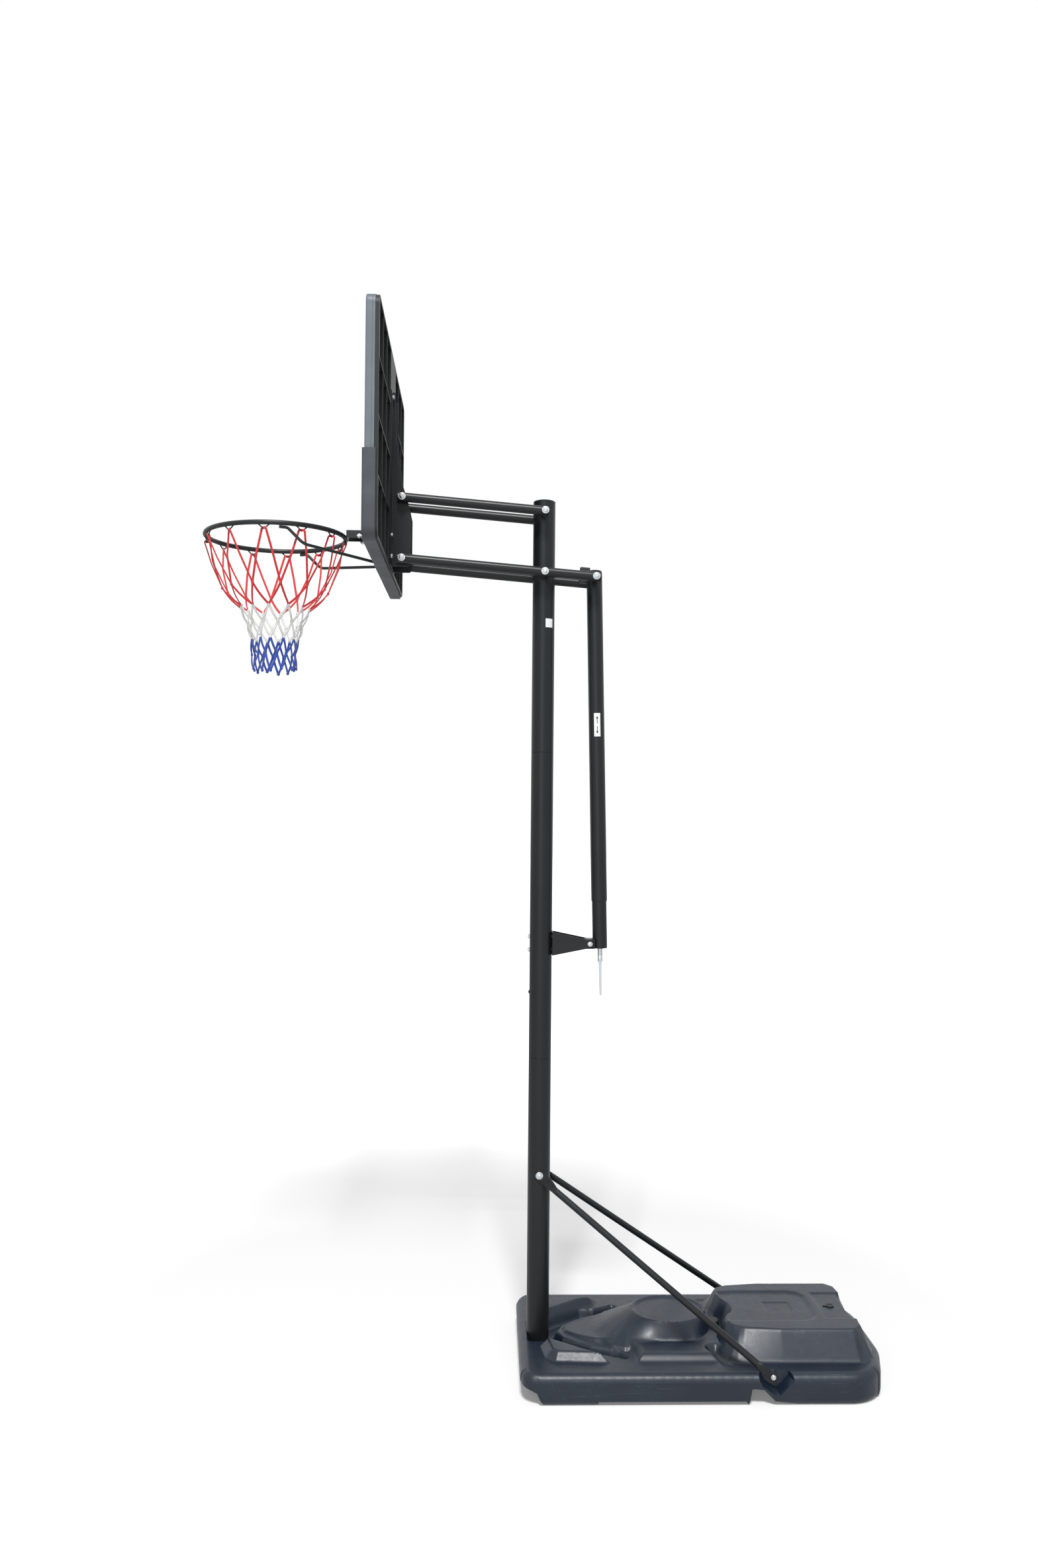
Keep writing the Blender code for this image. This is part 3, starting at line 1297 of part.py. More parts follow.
def build_board(carrier, carrier_place):
    """Frame, front panel, edge pad and rear bracket, hung from the lower front pivot."""
    base_x, base_z = carrier_place

    def sheet(name, outline, x_low, x_high, paint):
        return facing_plate(name, relative(outline, base_z), (x_low + x_high) / 2 - base_x,
                            x_high - x_low, paint, carrier)

    def hollow(name, corners):
        moved = [
            ((x0 - base_x, y0, z0 - base_z), (x1 - base_x, y1, z1 - base_z))
            for (x0, y0, z0), (x1, y1, z1) in corners
        ]
        return boxes(name, moved, carrier)

    front, back = BOARD_FRONT_X, BOARD_BACK_X
    panel_back = front + PANEL_THICKNESS
    frame = sheet("board_frame", board_outline(), front, back, FRAME_PLASTIC)
    rebate = sheet("panel_rebate", board_outline(-BOARD_FLANGE), front - 0.01,
                   panel_back + SEAT_GAP, None)
    combine(frame, rebate)
    panel = sheet("board_panel", board_outline(-BOARD_FLANGE - SEAT_GAP), front, panel_back,
                  PANEL_PLASTIC)

    web_back = panel_back + SEAT_GAP + FRAME_WEB
    low = BOARD_LOW_Z + FRAME_RIM_WALL
    high = BOARD_LOW_Z + BOARD_HEIGHT - FRAME_RIM_WALL
    half = BOARD_WIDTH / 2 - FRAME_RIM_WALL
    column = (half - FRAME_CENTRE_HALF - FRAME_RIB * (FRAME_COLUMNS - 1)) / FRAME_COLUMNS
    row = (high - low - FRAME_RIB * (FRAME_ROWS - 1)) / FRAME_ROWS
    pockets = []
    for side in (-1, 1):
        for i in range(FRAME_COLUMNS):
            near = FRAME_CENTRE_HALF + i * (column + FRAME_RIB)
            for j in range(FRAME_ROWS):
                at_corner = i == FRAME_COLUMNS - 1 and j in (0, FRAME_ROWS - 1)
                far = near + column - (BOARD_CORNER * 0.5 if at_corner else 0)
                inner, outer = sorted((side * near, side * far))
                bottom = low + j * (row + FRAME_RIB)
                pockets.append(((web_back, inner, bottom), (back + 0.01, outer, bottom + row)))
    combine(frame, hollow("frame_pockets", pockets))

    pad_back = back - PAD_BACK_GAP
    pad = sheet("board_pad", board_outline(PAD_PROUD), front - PAD_PROUD, pad_back, PAD_FOAM)
    combine(pad, sheet("pad_seat", board_outline(SEAT_GAP), front - SEAT_GAP, back + 0.02, None))
    combine(pad, sheet("pad_window", board_outline(-PAD_LIP, 2), front - 0.02, front + 0.01,
                       None))
    above = ((front - CUT_REACH, -BOARD_WIDTH, PAD_TOP_Z),
             (back + CUT_REACH, BOARD_WIDTH, BOARD_LOW_Z + 2 * BOARD_HEIGHT))
    notch = ((front - CUT_REACH, -PAD_NOTCH_HALF, BOARD_LOW_Z - SEAT_GAP),
             (front + 0.001, PAD_NOTCH_HALF, PAD_TOP_Z))
    combine(pad, hollow("pad_trim", (above, notch)))

    bracket_back = back + SEAT_GAP
    plate_half = FLANGE_HALF_WIDTH
    cheek_low, cheek_top = BOARD_LOW_Z + CHEEK_LOW_RISE, BOARD_LOW_Z + CHEEK_RISE
    bracket = block(
        "board_bracket",
        (bracket_back - base_x, -plate_half, cheek_low - base_z),
        (bracket_back + CHEEK_GAUGE - base_x, plate_half, cheek_top - base_z),
        POWDER_COAT,
        carrier,
    )
    start = bracket_back - front
    cheek = [(start, CHEEK_LOW_RISE), (CHEEK_DEPTH - CHEEK_TRIM, CHEEK_LOW_RISE),
             (CHEEK_DEPTH, CHEEK_LOW_RISE + CHEEK_TRIM), *CHEEK_SHOULDER, *CHEEK_NECK,
             (start, CHEEK_RISE)]
    outline = [(front + x - base_x, BOARD_LOW_Z + z - base_z) for x, z in cheek]
    middle = CHEEK_OUTER_Y - CHEEK_GAUGE / 2
    for side, label in ((-1, "left"), (1, "right")):
        join(bracket, upright_plate(f"cheek_{label}", outline, side * middle, CHEEK_GAUGE, None,
                                    carrier))
    for i, z in enumerate((0, ARM_SPREAD)):
        bolt_hole(bracket, f"cheek_hole_{i}", (0, 0, z), (0, 1, 0), 0.1, carrier)
        name = ("lower", "upper")[i]
        through_bolt(f"{name}_board_pivot_bolt", (0, 0, z), (0, -1, 0), ARM_OUTER_Y, ZINC,
                     carrier)

    mount = build_rim_mount(carrier, carrier_place)
    middle_x = (MOUNT_FRONT_X + bracket_back + CHEEK_GAUGE) / 2
    grip = (bracket_back + CHEEK_GAUGE - MOUNT_FRONT_X) / 2
    high_x = (front + bracket_back + CHEEK_GAUGE) / 2
    high_grip = (bracket_back + CHEEK_GAUGE - front) / 2
    for side, label in ((-1, "left"), (1, "right")):
        for i, rise in enumerate(RIM_BOLT_RISES):
            place = (middle_x - base_x, side * RIM_BOLT_Y, BOARD_LOW_Z + rise - base_z)
            for target in (mount, frame, panel, bracket):
                bolt_hole(target, f"{target.name}_{label}_{i}", place, (1, 0, 0), 0.05, carrier,
                          SMALL_BOLT_RADIUS)
            through_bolt(f"rim_mount_bolt_{label}_{i + 1}", place, (1, 0, 0), grip, ZINC,
                         carrier, small=True)
        place = (high_x - base_x, side * TOP_BOLT_Y, BOARD_LOW_Z + TOP_BOLT_RISE - base_z)
        for target in (frame, panel, bracket):
            bolt_hole(target, f"{target.name}_{label}_top", place, (1, 0, 0), 0.05, carrier,
                      SMALL_BOLT_RADIUS)
        through_bolt(f"board_top_bolt_{label}", place, (1, 0, 0), high_grip, ZINC, carrier,
                     small=True)


def build_rim_mount(carrier, carrier_place):
    """The fixed plate on the board's face, with a hooked lower lip and two spring studs."""
    base_x, base_z = carrier_place
    back, front = BOARD_FRONT_X - SEAT_GAP, MOUNT_FRONT_X
    lip_front = RIM_PLATE_FRONT_X - 0.0016 - 0.0025
    low = MOUNT_PLATE_LOW_Z - 0.003
    half = RIM_PLATE_HALF
    mount = block(
        "rim_mount_plate",
        (front - base_x, -MOUNT_PLATE_HALF, low - base_z),
        (back - base_x, MOUNT_PLATE_HALF, BOARD_LOW_Z + MOUNT_PLATE_RISE - base_z),
        RIM_COAT,
        carrier,
    )
    lip = block("mount_lip", (lip_front - base_x, -half, low - base_z),
                (front + 0.001 - base_x, half, MOUNT_PLATE_LOW_Z - base_z), None, carrier)
    upturn = block(
        "mount_upturn",
        (lip_front - base_x, -half, low - base_z + 0.001),
        (lip_front + 0.0025 - base_x, half, MOUNT_PLATE_LOW_Z + RIM_HOOK_HEIGHT - base_z),
        None,
        carrier,
    )
    join(mount, lip)
    join(mount, upturn)
    end = front - SEAT_GAP - SPRING_STUD_END_X
    nut = 0.0065
    rings = (
        ring_of(SPRING_STUD_RADIUS, 0),
        ring_of(SPRING_STUD_RADIUS, end - nut - 0.004),
        ring_of(0.009, end - nut - 0.004),
        ring_of(0.009, end - nut - 0.002),
        hexagon(0.013, end - nut - 0.002),
        hexagon(0.013, end - 0.002),
        ring_of(SPRING_STUD_RADIUS, end - 0.002),
        ring_of(SPRING_STUD_RADIUS, end),
    )
    for side, label in ((-1, "left"), (1, "right")):
        stud = lofted(f"spring_stud_{label}", rings, ZINC, carrier)
        place = (front - SEAT_GAP - base_x, side * SPRING_Y, SPRING_Z - base_z)
        aim(stud, place, (-1, 0, 0))
    return mount


# Rim


def build_rim(hinge, hinge_place):
    base_x, base_z = hinge_place
    centre = (RIM_CENTRE[0] - base_x, 0, RIM_CENTRE[1] - base_z)
    bpy.ops.mesh.primitive_torus_add(
        major_segments=48,
        minor_segments=8,
        major_radius=RING_RADIUS,
        minor_radius=RING_WIRE_RADIUS,
    )
    made = bpy.context.active_object
    mesh = made.data
    bpy.data.objects.remove(made)
    ring = finish(bpy.data.objects.new("rim_ring", mesh), RIM_COAT, hinge)
    mesh.name = "rim_ring"
    ring.location = centre
    join(ring, net_hooks(hinge, centre))

    front = RIM_PLATE_FRONT_X
    bracket = block(
        "rim_bracket",
        (front - base_x, -RIM_PLATE_HALF, 0),
        (0, RIM_PLATE_HALF, BOARD_LOW_Z + RIM_PLATE_RISE - base_z),
        RIM_COAT,
        hinge,
    )
    reach = RIM_CENTRE[0] + RING_RADIUS - 0.02
    low, high = (BOARD_LOW_Z + rise - base_z for rise in (CHANNEL_LOW_RISE, CHANNEL_RISE))
    gauge, half = CHANNEL_GAUGE, CHANNEL_HALF
    root = front + 0.001 - base_x
    join(bracket, block("channel_top", (reach - base_x, -half, high - gauge),
                        (root, half, high), None, hinge))
    for side, label in ((-1, "left"), (1, "right")):
        near, far = sorted((side * half, side * (half - gauge)))
        join(bracket, block(f"channel_{label}", (reach - base_x, near, low),
                            (root, far, high - gauge / 2), None, hinge))
        start = (front - 0.02 - base_x, side * SPRING_Y, SPRING_Z - base_z)
        end = (0.02, side * SPRING_Y, SPRING_Z - base_z)
        hole = SPRING_STUD_RADIUS + SPRING_STUD_PLAY
        combine(bracket, rod_cutter(f"stud_hole_{label}", hole, start, end, hinge))
    trim_radius = RING_RADIUS + RING_WIRE_RADIUS + SEAT_GAP
    trim = rod_cutter("channel_trim", trim_radius, (centre[0], 0, low - 0.02),
                      (centre[0], 0, high + 0.02), hinge, 96)
    combine(bracket, trim)

    build_braces(hinge, base_x, base_z)
    build_springs(hinge, base_x, base_z)
    build_net(hinge, centre)


def net_hooks(parent, centre):
    """Twelve V-shaped wires with shoulders under the ring, as one hidden helper."""
    hooks = []
    foot = (HOOK_HALF_SPAN, -RING_WIRE_RADIUS * 0.5)
    shoulder = (HOOK_SHOULDER[0], -HOOK_SHOULDER[1])
    shape = ((-foot[0], foot[1]), (-shoulder[0], shoulder[1]), (0, -HOOK_DROP), shoulder, foot)
    for i in range(HOOK_COUNT):
        turn = 2 * pi * i / HOOK_COUNT
        points = [
            Matrix.Rotation(turn, 3, "Z") @ Vector((sqrt(RING_RADIUS**2 - t * t), t, z))
            for t, z in shape
        ]
        hook = as_mesh(wire(f"hook_{i}", points, HOOK_WIRE_RADIUS, None, parent, 0))
        hooks.append(hook)
    bm = bmesh.new()
    for hook in hooks:
        bm.from_mesh(hook.data)
        bpy.data.objects.remove(hook)
    obj = from_bmesh("net_hooks", bm, None, parent)
    obj.location = centre
    return obj


def bent(corners, share, steps):
    """A path through corners, each rounded over this share of the runs beside it."""
    points = [corners[0]]
    for before, here, after in zip(corners, corners[1:], corners[2:]):
        start = here + (before - here) * share
        end = here + (after - here) * share
        for i in range(steps + 1):
            t = i / steps
            points.append(start * (1 - t) ** 2 + here * 2 * t * (1 - t) + end * t**2)
    return points + [corners[-1]]


def build_braces(hinge, base_x, base_z):
    """The two rods from under the ring's sides to the foot of the rim plate."""
    under = RIM_CENTRE[1] - RING_WIRE_RADIUS - BRACE_RADIUS - SEAT_GAP
    weld_y = sqrt(RING_RADIUS**2 - BRACE_WELD_BACK**2)
    foot_x = RIM_PLATE_FRONT_X - SEAT_GAP - BRACE_RADIUS * 0.62
    for side, label in ((-1, "left"), (1, "right")):
        corners = [
            Vector((RIM_CENTRE[0] + BRACE_WELD_BACK, side * weld_y, under)),
            Vector((RIM_CENTRE[0] + BRACE_RUN[0], side * BRACE_RUN[1], under)),
            Vector((RIM_CENTRE[0] + BRACE_BEND[0], side * BRACE_BEND[1],
                    RIM_CENTRE[1] - BRACE_BEND[2])),
            Vector((foot_x, side * BRACE_FOOT[0], BOARD_LOW_Z + BRACE_FOOT[1])),
        ]
        points = bent([c - Vector((base_x, 0, base_z)) for c in corners], 0.2, 2)
        wire(f"rim_brace_{label}", points, BRACE_RADIUS, RIM_COAT, hinge)


def build_springs(hinge, base_x, base_z):
    """A coil spring on each stud, between the rim plate and the stud's washer."""
    start = RIM_PLATE_FRONT_X - SEAT_GAP - SPRING_WIRE_RADIUS
    washer = SPRING_STUD_END_X + 0.0065 + 0.004
    end = washer + SEAT_GAP + SPRING_WIRE_RADIUS
    steps = 8
    count = SPRING_TURNS * steps
    pitch = (start - end) / SPRING_TURNS
    print("least gap in a rim spring, metres:", round(pitch - 2 * SPRING_WIRE_RADIUS, 5))
    for side, label in ((-1, "left"), (1, "right")):
        points = [
            (
                start - (start - end) * i / count - base_x,
                side * SPRING_Y + SPRING_MEAN_RADIUS * cos(2 * pi * i / steps),
                SPRING_Z - base_z + SPRING_MEAN_RADIUS * sin(2 * pi * i / steps),
            )
            for i in range(count + 1)
        ]
        wire(f"rim_spring_{label}", points, SPRING_WIRE_RADIUS, ZINC, hinge)


def bar_rise():
    """How high a loop's top bar lies above the foot of its hook, resting on both its sides."""
    side = Vector((HOOK_SHOULDER[0], 0, HOOK_DROP - HOOK_SHOULDER[1]))
    bar = Vector((NET_BAR_HALF, -NET_BAR_CROSS, 0))
    square = side.cross(bar).normalized()
    return (HOOK_WIRE_RADIUS + NET_CORD_REACH + SEAT_GAP) / abs(square.z)


def build_net(hinge, centre):
    """A knotted net whose loops hang on the hooks, each row turned half a mesh on."""
    top = bar_rise() - HOOK_DROP
    bm = bmesh.new()

    def knot(meshes_round, radius, sideways, depth):
        turn = Matrix.Rotation(2 * pi * meshes_round / HOOK_COUNT, 3, "Z")
        return bm.verts.new(turn @ Vector((radius, sideways, top - depth)))

    rows = [
        [knot(i + 0.5 * ((k + 1) % 2), radius, 0, depth) for i in range(HOOK_COUNT)]
        for k, (depth, radius) in enumerate(NET_ROWS)
    ]
    depth, radius, half = NET_BEND
    for i in range(HOOK_COUNT):
        # A loop's outer side points away from the brace, to the left and to the right
        outward = NET_BAR_CROSS if i < HOOK_COUNT / 2 else -NET_BAR_CROSS
        loop = (
            knot(i, radius, -half, depth),
            knot(i, RING_RADIUS + outward, -NET_BAR_HALF, 0),
            knot(i, RING_RADIUS - outward, NET_BAR_HALF, 0),
            knot(i, radius, half, depth),
        )
        bm.faces.new((rows[0][i - 1], *loop, rows[0][i], rows[1][i]))
    for k in range(len(rows) - 2):
        for i in range(HOOK_COUNT):
            left, right = (i - 1, i) if k % 2 else (i, (i + 1) % HOOK_COUNT)
            bm.faces.new((rows[k][i], rows[k + 1][left], rows[k + 2][i], rows[k + 1][right]))
    net = from_bmesh("net", bm, NET_NYLON, hinge, smooth=False)
    net.location = centre
    frame = net.modifiers.new("cords", "WIREFRAME")
    frame.thickness = NET_CORD
    frame.use_even_offset = True
    frame.use_boundary = True
    frame.use_replace = True


# Assembly


def build():
    root = pivot("stand_frame", (0, 0, 0))
    build_base(root)
    build_wheels(root)
    build_caps()
    build_pole(root)
    build_struts(root)
    build_jack_bracket(root)

    lower = pivot("lower_arm_axis", (0, 0, ARM_PIVOT_Z), ARM_REST_TILT)
    upper = pivot("upper_arm_axis", (0, 0, ARM_PIVOT_Z + ARM_SPREAD), ARM_REST_TILT)
    build_arms(lower, upper)

    jack_place = (REAR_PIVOT[0], 0, REAR_PIVOT[1])
    outer_axis = pivot("jack_top_axis", jack_place, -JACK_LEAN)
    inner_axis = pivot("jack_slide_axis", jack_place, -JACK_LEAN)
    spindle_axis = pivot("crank_turn_axis", jack_place, -JACK_LEAN)
    drop = JACK_ROD_FOOT + HANDLE_PIN_DROP
    pin_place = (
        REAR_PIVOT[0] + drop * sin(JACK_LEAN),
        0,
        REAR_PIVOT[1] - drop * cos(JACK_LEAN),
    )
    fold_axis = pivot("crank_fold_axis", pin_place, -JACK_LEAN)
    build_jack(outer_axis, inner_axis, spindle_axis, fold_axis)

    carrier = pivot("board_axis", (FRONT_PIVOT[0], 0, FRONT_PIVOT[1]))
    build_board(carrier, FRONT_PIVOT)
    hinge_place = (RIM_HINGE_X, RIM_HINGE_Z)
    hinge = pivot("rim_tilt_axis", (RIM_HINGE_X, 0, RIM_HINGE_Z))
    build_rim(hinge, hinge_place)


build()
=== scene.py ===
"""The looks of a portable basketball stand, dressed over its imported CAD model.

Round pieces, the blow-moulded base and the knotted net are surfaces worked out on grids.
Flat plates keep their CAD shape, most with softened edges. Units are metres, +Z is up,
the pole stands on the origin and the hoop points to -X.
"""

import logging
from dataclasses import dataclass, field
from enum import Enum

import bmesh
import bpy
import numpy as np
from mathutils import Matrix, Vector


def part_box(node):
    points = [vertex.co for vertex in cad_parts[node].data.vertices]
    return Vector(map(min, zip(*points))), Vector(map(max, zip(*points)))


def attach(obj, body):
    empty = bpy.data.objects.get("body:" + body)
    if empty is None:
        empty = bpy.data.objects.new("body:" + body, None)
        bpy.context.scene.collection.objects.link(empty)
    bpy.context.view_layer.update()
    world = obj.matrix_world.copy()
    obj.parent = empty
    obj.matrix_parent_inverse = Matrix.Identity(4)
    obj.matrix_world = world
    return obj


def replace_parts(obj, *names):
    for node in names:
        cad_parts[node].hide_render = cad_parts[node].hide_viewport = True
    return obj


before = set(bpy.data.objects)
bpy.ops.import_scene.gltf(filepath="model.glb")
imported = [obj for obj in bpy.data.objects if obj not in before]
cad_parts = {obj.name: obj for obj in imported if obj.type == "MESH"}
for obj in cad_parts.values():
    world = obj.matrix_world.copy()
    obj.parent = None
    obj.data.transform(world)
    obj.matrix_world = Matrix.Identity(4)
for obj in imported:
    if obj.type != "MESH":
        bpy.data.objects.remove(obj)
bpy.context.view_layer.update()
LOG = logging.getLogger("basketball_stand")

SEAT_GAP = 0.0003
CREASE = 32.0
MERGE_GAP = 1e-6
FLAT_ANGLE = 0.5
FILM = 0.0004

Array = np.ndarray
Node = bpy.types.Node
Object = bpy.types.Object
Socket = bpy.types.NodeSocket
Tree = bpy.types.NodeTree
Pair = tuple[float, float]
Triple = tuple[float, float, float]
Channels = tuple[float, float, float, float]


class Side(Enum):
    """The two sides of the stand, each with the way in which it lies along Y."""

    LEFT = -1
    RIGHT = 1

    @property
    def label(self) -> str:
        """The side's name as the CAD nodes write it."""
        return self.name.lower()


class NetColour(Enum):
    """The three dyed bands of the net, from the hooks down."""

    RED = "#E2282C"
    WHITE = "#ECECEA"
    BLUE = "#1F49AE"


# Finishes


def linear(code: str) -> Channels:
    """Turns an sRGB hex colour into linear red, green, blue and alpha.

    Args:
        code: The colour, such as "#2F3A48".

    Returns:
        The four channels, with alpha at 1.
    """
    srgb = np.array([int(code[i : i + 2], 16) for i in (1, 3, 5)]) / 255
    value = np.where(srgb <= 0.04045, srgb / 12.92, ((srgb + 0.055) / 1.055) ** 2.4)
    red, green, blue = (float(channel) for channel in value)
    return red, green, blue, 1.0


def add(tree: Tree, kind: str, inputs: dict | None = None, **settings: object) -> Node:
    """Adds one node to a material or a world.

    Args:
        tree: The node tree that gets it.
        kind: The node's type without its ShaderNode prefix.
        inputs: What each input takes, by name or number: a value, or a socket to link.
        **settings: The node's own properties.

    Returns:
        The new node.
    """
    node = tree.nodes.new("ShaderNode" + kind)
    for name, value in settings.items():
        setattr(node, name, value)
    for key, value in (inputs or {}).items():
        if isinstance(value, Socket):
            tree.links.new(value, node.inputs[key])
        else:
            node.inputs[key].default_value = value
    return node


def mixed(tree: Tree, amount: Socket, first: Socket | Channels, second: str) -> Socket:
    """Mixes two colours by an amount from 0 to 1.

    Args:
        tree: The material's nodes.
        amount: How much of the second colour there is.
        first: The colour at 0: linear channels, or the output of another mix.
        second: The colour at 1, as a hex code.

    Returns:
        The mixed colour.
    """
    inputs = {0: amount, 6: first, 7: linear(second)}
    return add(tree, "Mix", inputs, data_type="RGBA").outputs[2]


@dataclass(frozen=True)
class Patch:
    """A noise of so many waves a metre, and how it brings a colour in from low to high."""

    waves: float
    detail: float
    low: float
    high: float
    share: float
    colour: str = ""
    rough: float = 0.5


def cloud(tree: Tree, place: Socket, patch: Patch) -> tuple[Socket, Socket]:
    """Adds the noise of a patch, and the amount of colour that it brings in.

    Args:
        tree: The material's nodes.
        place: The place on the piece, in metres.
        patch: The patch.

    Returns:
        The noise and the amount.
    """
    inputs = {"Vector": place, "Scale": patch.waves, "Detail": patch.detail,
              "Roughness": patch.rough}
    noise = add(tree, "TexNoise", inputs).outputs["Fac"]
    inputs = {0: noise, 1: patch.low, 2: patch.high, 4: patch.share}
    return noise, add(tree, "MapRange", inputs).outputs[0]


@dataclass(frozen=True)
class Finish:
    """A finish that a piece can wear.

    Its patches tint it one over the other, in their own colour or else in the haze. The
    noise of the patch numbered gloss_patch shifts the roughness down and up by the two
    numbers of gloss. The grain repeats every so many metres, and its relief is how high it
    stands and how much of it shows.
    """

    name: str
    colour: str
    roughness: float
    specular: float = 0.5
    slot: str = ""
    haze: str = ""
    patches: tuple[Patch, ...] = ()
    gloss: Pair = (0.0, 0.0)
    gloss_patch: int = 0
    grain: float = 0.002
    grain_detail: float = 2.0
    relief: Pair = (0.0002, 0.2)
    metallic: float = 0.0

    def material(self) -> bpy.types.Material:
        """Makes the finish's material, or finds it if it is there already.

        Returns:
            The material, with its pattern nodes in place.
        """
        made = bpy.data.materials.get(self.name)
        if made is None:
            made = bpy.data.materials.new(self.name)
            made.use_nodes = True
            tree = made.node_tree
            shader = tree.nodes["Principled BSDF"]
            shader.inputs["Roughness"].default_value = self.roughness
            shader.inputs["Specular IOR Level"].default_value = self.specular
            shader.inputs["Metallic"].default_value = self.metallic
            place = add(tree, "TexCoord").outputs["Object"]
            colour, height = self.pattern(tree, shader, place)
            tree.links.new(colour, shader.inputs["Base Color"])
            depth, strength = self.relief
            inputs = {"Height": height, "Distance": depth, "Strength": strength}
            bump = add(tree, "Bump", inputs)
            tree.links.new(bump.outputs["Normal"], shader.inputs["Normal"])
        return made

    def pattern(self, tree: Tree, shader: Node, place: Socket) -> tuple[Socket, Socket]:
        """Adds the nodes that vary the finish over the surface.

        Args:
            tree: The material's nodes.
            shader: The Principled shader, whose roughness the gloss feeds.
            place: The place on the piece, in metres.

        Returns:
            The colour and the height of the grain.
        """
        colour = linear(self.colour)
        noises = []
        for patch in self.patches:
            noise, amount = cloud(tree, place, patch)
            noises.append(noise)
            colour = mixed(tree, amount, colour, patch.colour or self.haze)
        below, above = self.gloss
        if above:
            inputs = {0: noises[self.gloss_patch], 3: self.roughness - below,
                      4: self.roughness + above}
            sheen = add(tree, "MapRange", inputs)
            tree.links.new(sheen.outputs[0], shader.inputs["Roughness"])
        return colour, self.texture(tree, place, noises[0])

    def texture(self, tree: Tree, place: Socket, first: Socket) -> Socket:
        """The height of the grain at the place. The first patch's noise may stand for it."""
        inputs = {"Vector": place, "Scale": 1 / self.grain, "Detail": self.grain_detail}
        return add(tree, "TexNoise", inputs).outputs["Fac"]


@dataclass(frozen=True)
class PowderCoat(Finish):
    """Polyester powder baked on steel, in a thin satin skin with a faint orange peel.

    It is cloudy, and rubs pale in small spots where it is handled. The peel is really
    about 1.5 mm across, and is drawn at 3 mm so that it shows.
    """

    slot: str = "powder_coat"
    haze: str = "#1E2123"
    patches: tuple[Patch, ...] = (
        Patch(9.0, 5.0, 0.45, 0.8, 0.35),
        Patch(160.0, 3.0, 0.69, 0.73, 0.5, "#3E4245"),
    )
    gloss: Pair = (0.06, 0.1)
    grain: float = 0.003
    grain_detail: float = 1.0
    relief: Pair = (0.0002, 0.25)


@dataclass(frozen=True)
class ZincPlate(Finish):
    """Electroplated zinc on steel, passivated blue.

    The plate is bright and faintly cloudy, with fine scratches and a trace of yellow.
    """

    slot: str = "zinc"
    haze: str = "#C9C2A6"
    patches: tuple[Patch, ...] = (Patch(180.0, 4.0, 0.5, 0.75, 0.6),)
    gloss: Pair = (0.08, 0.18)
    relief: Pair = (0.0001, 0.2)
    metallic: float = 1.0
    scratches: Triple = (900.0, 900.0, 90.0)

    def texture(self, tree: Tree, place: Socket, first: Socket) -> Socket:
        """The height of the scratches: a noise drawn out along Z at the place."""
        lay = add(tree, "Mapping", {"Vector": place, "Scale": self.scratches}).outputs[0]
        return add(tree, "TexNoise", {"Vector": lay, "Scale": 1.0, "Detail": 2.0}).outputs["Fac"]


@dataclass(frozen=True)
class BlowMoulded(Finish):
    """Polyethylene blown into a mould, then dragged over rough ground.

    The skin is waxy and finely sand-textured. Dust dulls it, and scuffs whiten it in
    chalky patches and in long thin streaks that lie two ways.
    """

    slot: str = "tank_plastic"
    haze: str = "#1B2734"
    chalk: str = "#68727D"
    patches: tuple[Patch, ...] = (
        Patch(7.0, 9.0, 0.42, 0.75, 0.8),
        Patch(38.0, 8.0, 0.64, 0.8, 0.25, "#68727D", 0.7),
    )
    gloss: Pair = (0.12, 0.15)
    gloss_patch: int = 1
    grain: float = 0.0022
    relief: Pair = (0.0003, 0.3)
    streaks: tuple = ((0.18, (5.0, 230.0, 230.0)), (-0.5, (240.0, 7.0, 200.0)))
    streak: Patch = Patch(1.0, 5.0, 0.64, 0.74, 0.42)
    gate: Patch = Patch(7.0, 9.0, 0.46, 0.62, 1.0)

    def pattern(self, tree: Tree, shader: Node, place: Socket) -> tuple[Socket, Socket]:
        """Adds the patches and the sand, and the streaks where the dust lies.

        Args:
            tree: The material's nodes.
            shader: The Principled shader.
            place: The place on the piece, in metres.

        Returns:
            The colour and the height of the grain.
        """
        colour, height = super().pattern(tree, shader, place)
        _, where = cloud(tree, place, self.gate)
        for turn, size in self.streaks:
            inputs = {"Vector": place, "Rotation": (0.0, turn, turn), "Scale": size}
            lay = add(tree, "Mapping", inputs).outputs[0]
            _, lines = cloud(tree, lay, self.streak)
            marks = add(tree, "Math", {0: lines, 1: where}, operation="MULTIPLY")
            colour = mixed(tree, marks.outputs[0], colour, self.chalk)
        return colour, height


@dataclass(frozen=True)
class Moulded(Finish):
    """Injection-moulded plastic, dull and even, hazy in places.

    Its spark-eroded texture is about 0.4 mm across, and is drawn at 2 mm so that it shows.
    """

    patches: tuple[Patch, ...] = (Patch(14.0, 7.0, 0.42, 0.78, 0.5),)
    gloss: Pair = (0.07, 0.1)


@dataclass(frozen=True)
class FoamSkin(Finish):
    """Integral-skin polyurethane foam, dull like leather, with pebbles of 2.5 mm."""

    slot: str = "pad"
    haze: str = "#4D5157"
    patches: tuple[Patch, ...] = (Patch(11.0, 6.0, 0.4, 0.75, 0.6),)
    grain: float = 0.0025
    relief: Pair = (0.0003, 0.3)

    def texture(self, tree: Tree, place: Socket, first: Socket) -> Socket:
        """The height of the pebbles: the distance to the middle of a cell at the place."""
        inputs = {"Vector": place, "Scale": 1 / self.grain}
        return add(tree, "TexVoronoi", inputs).outputs["Distance"]


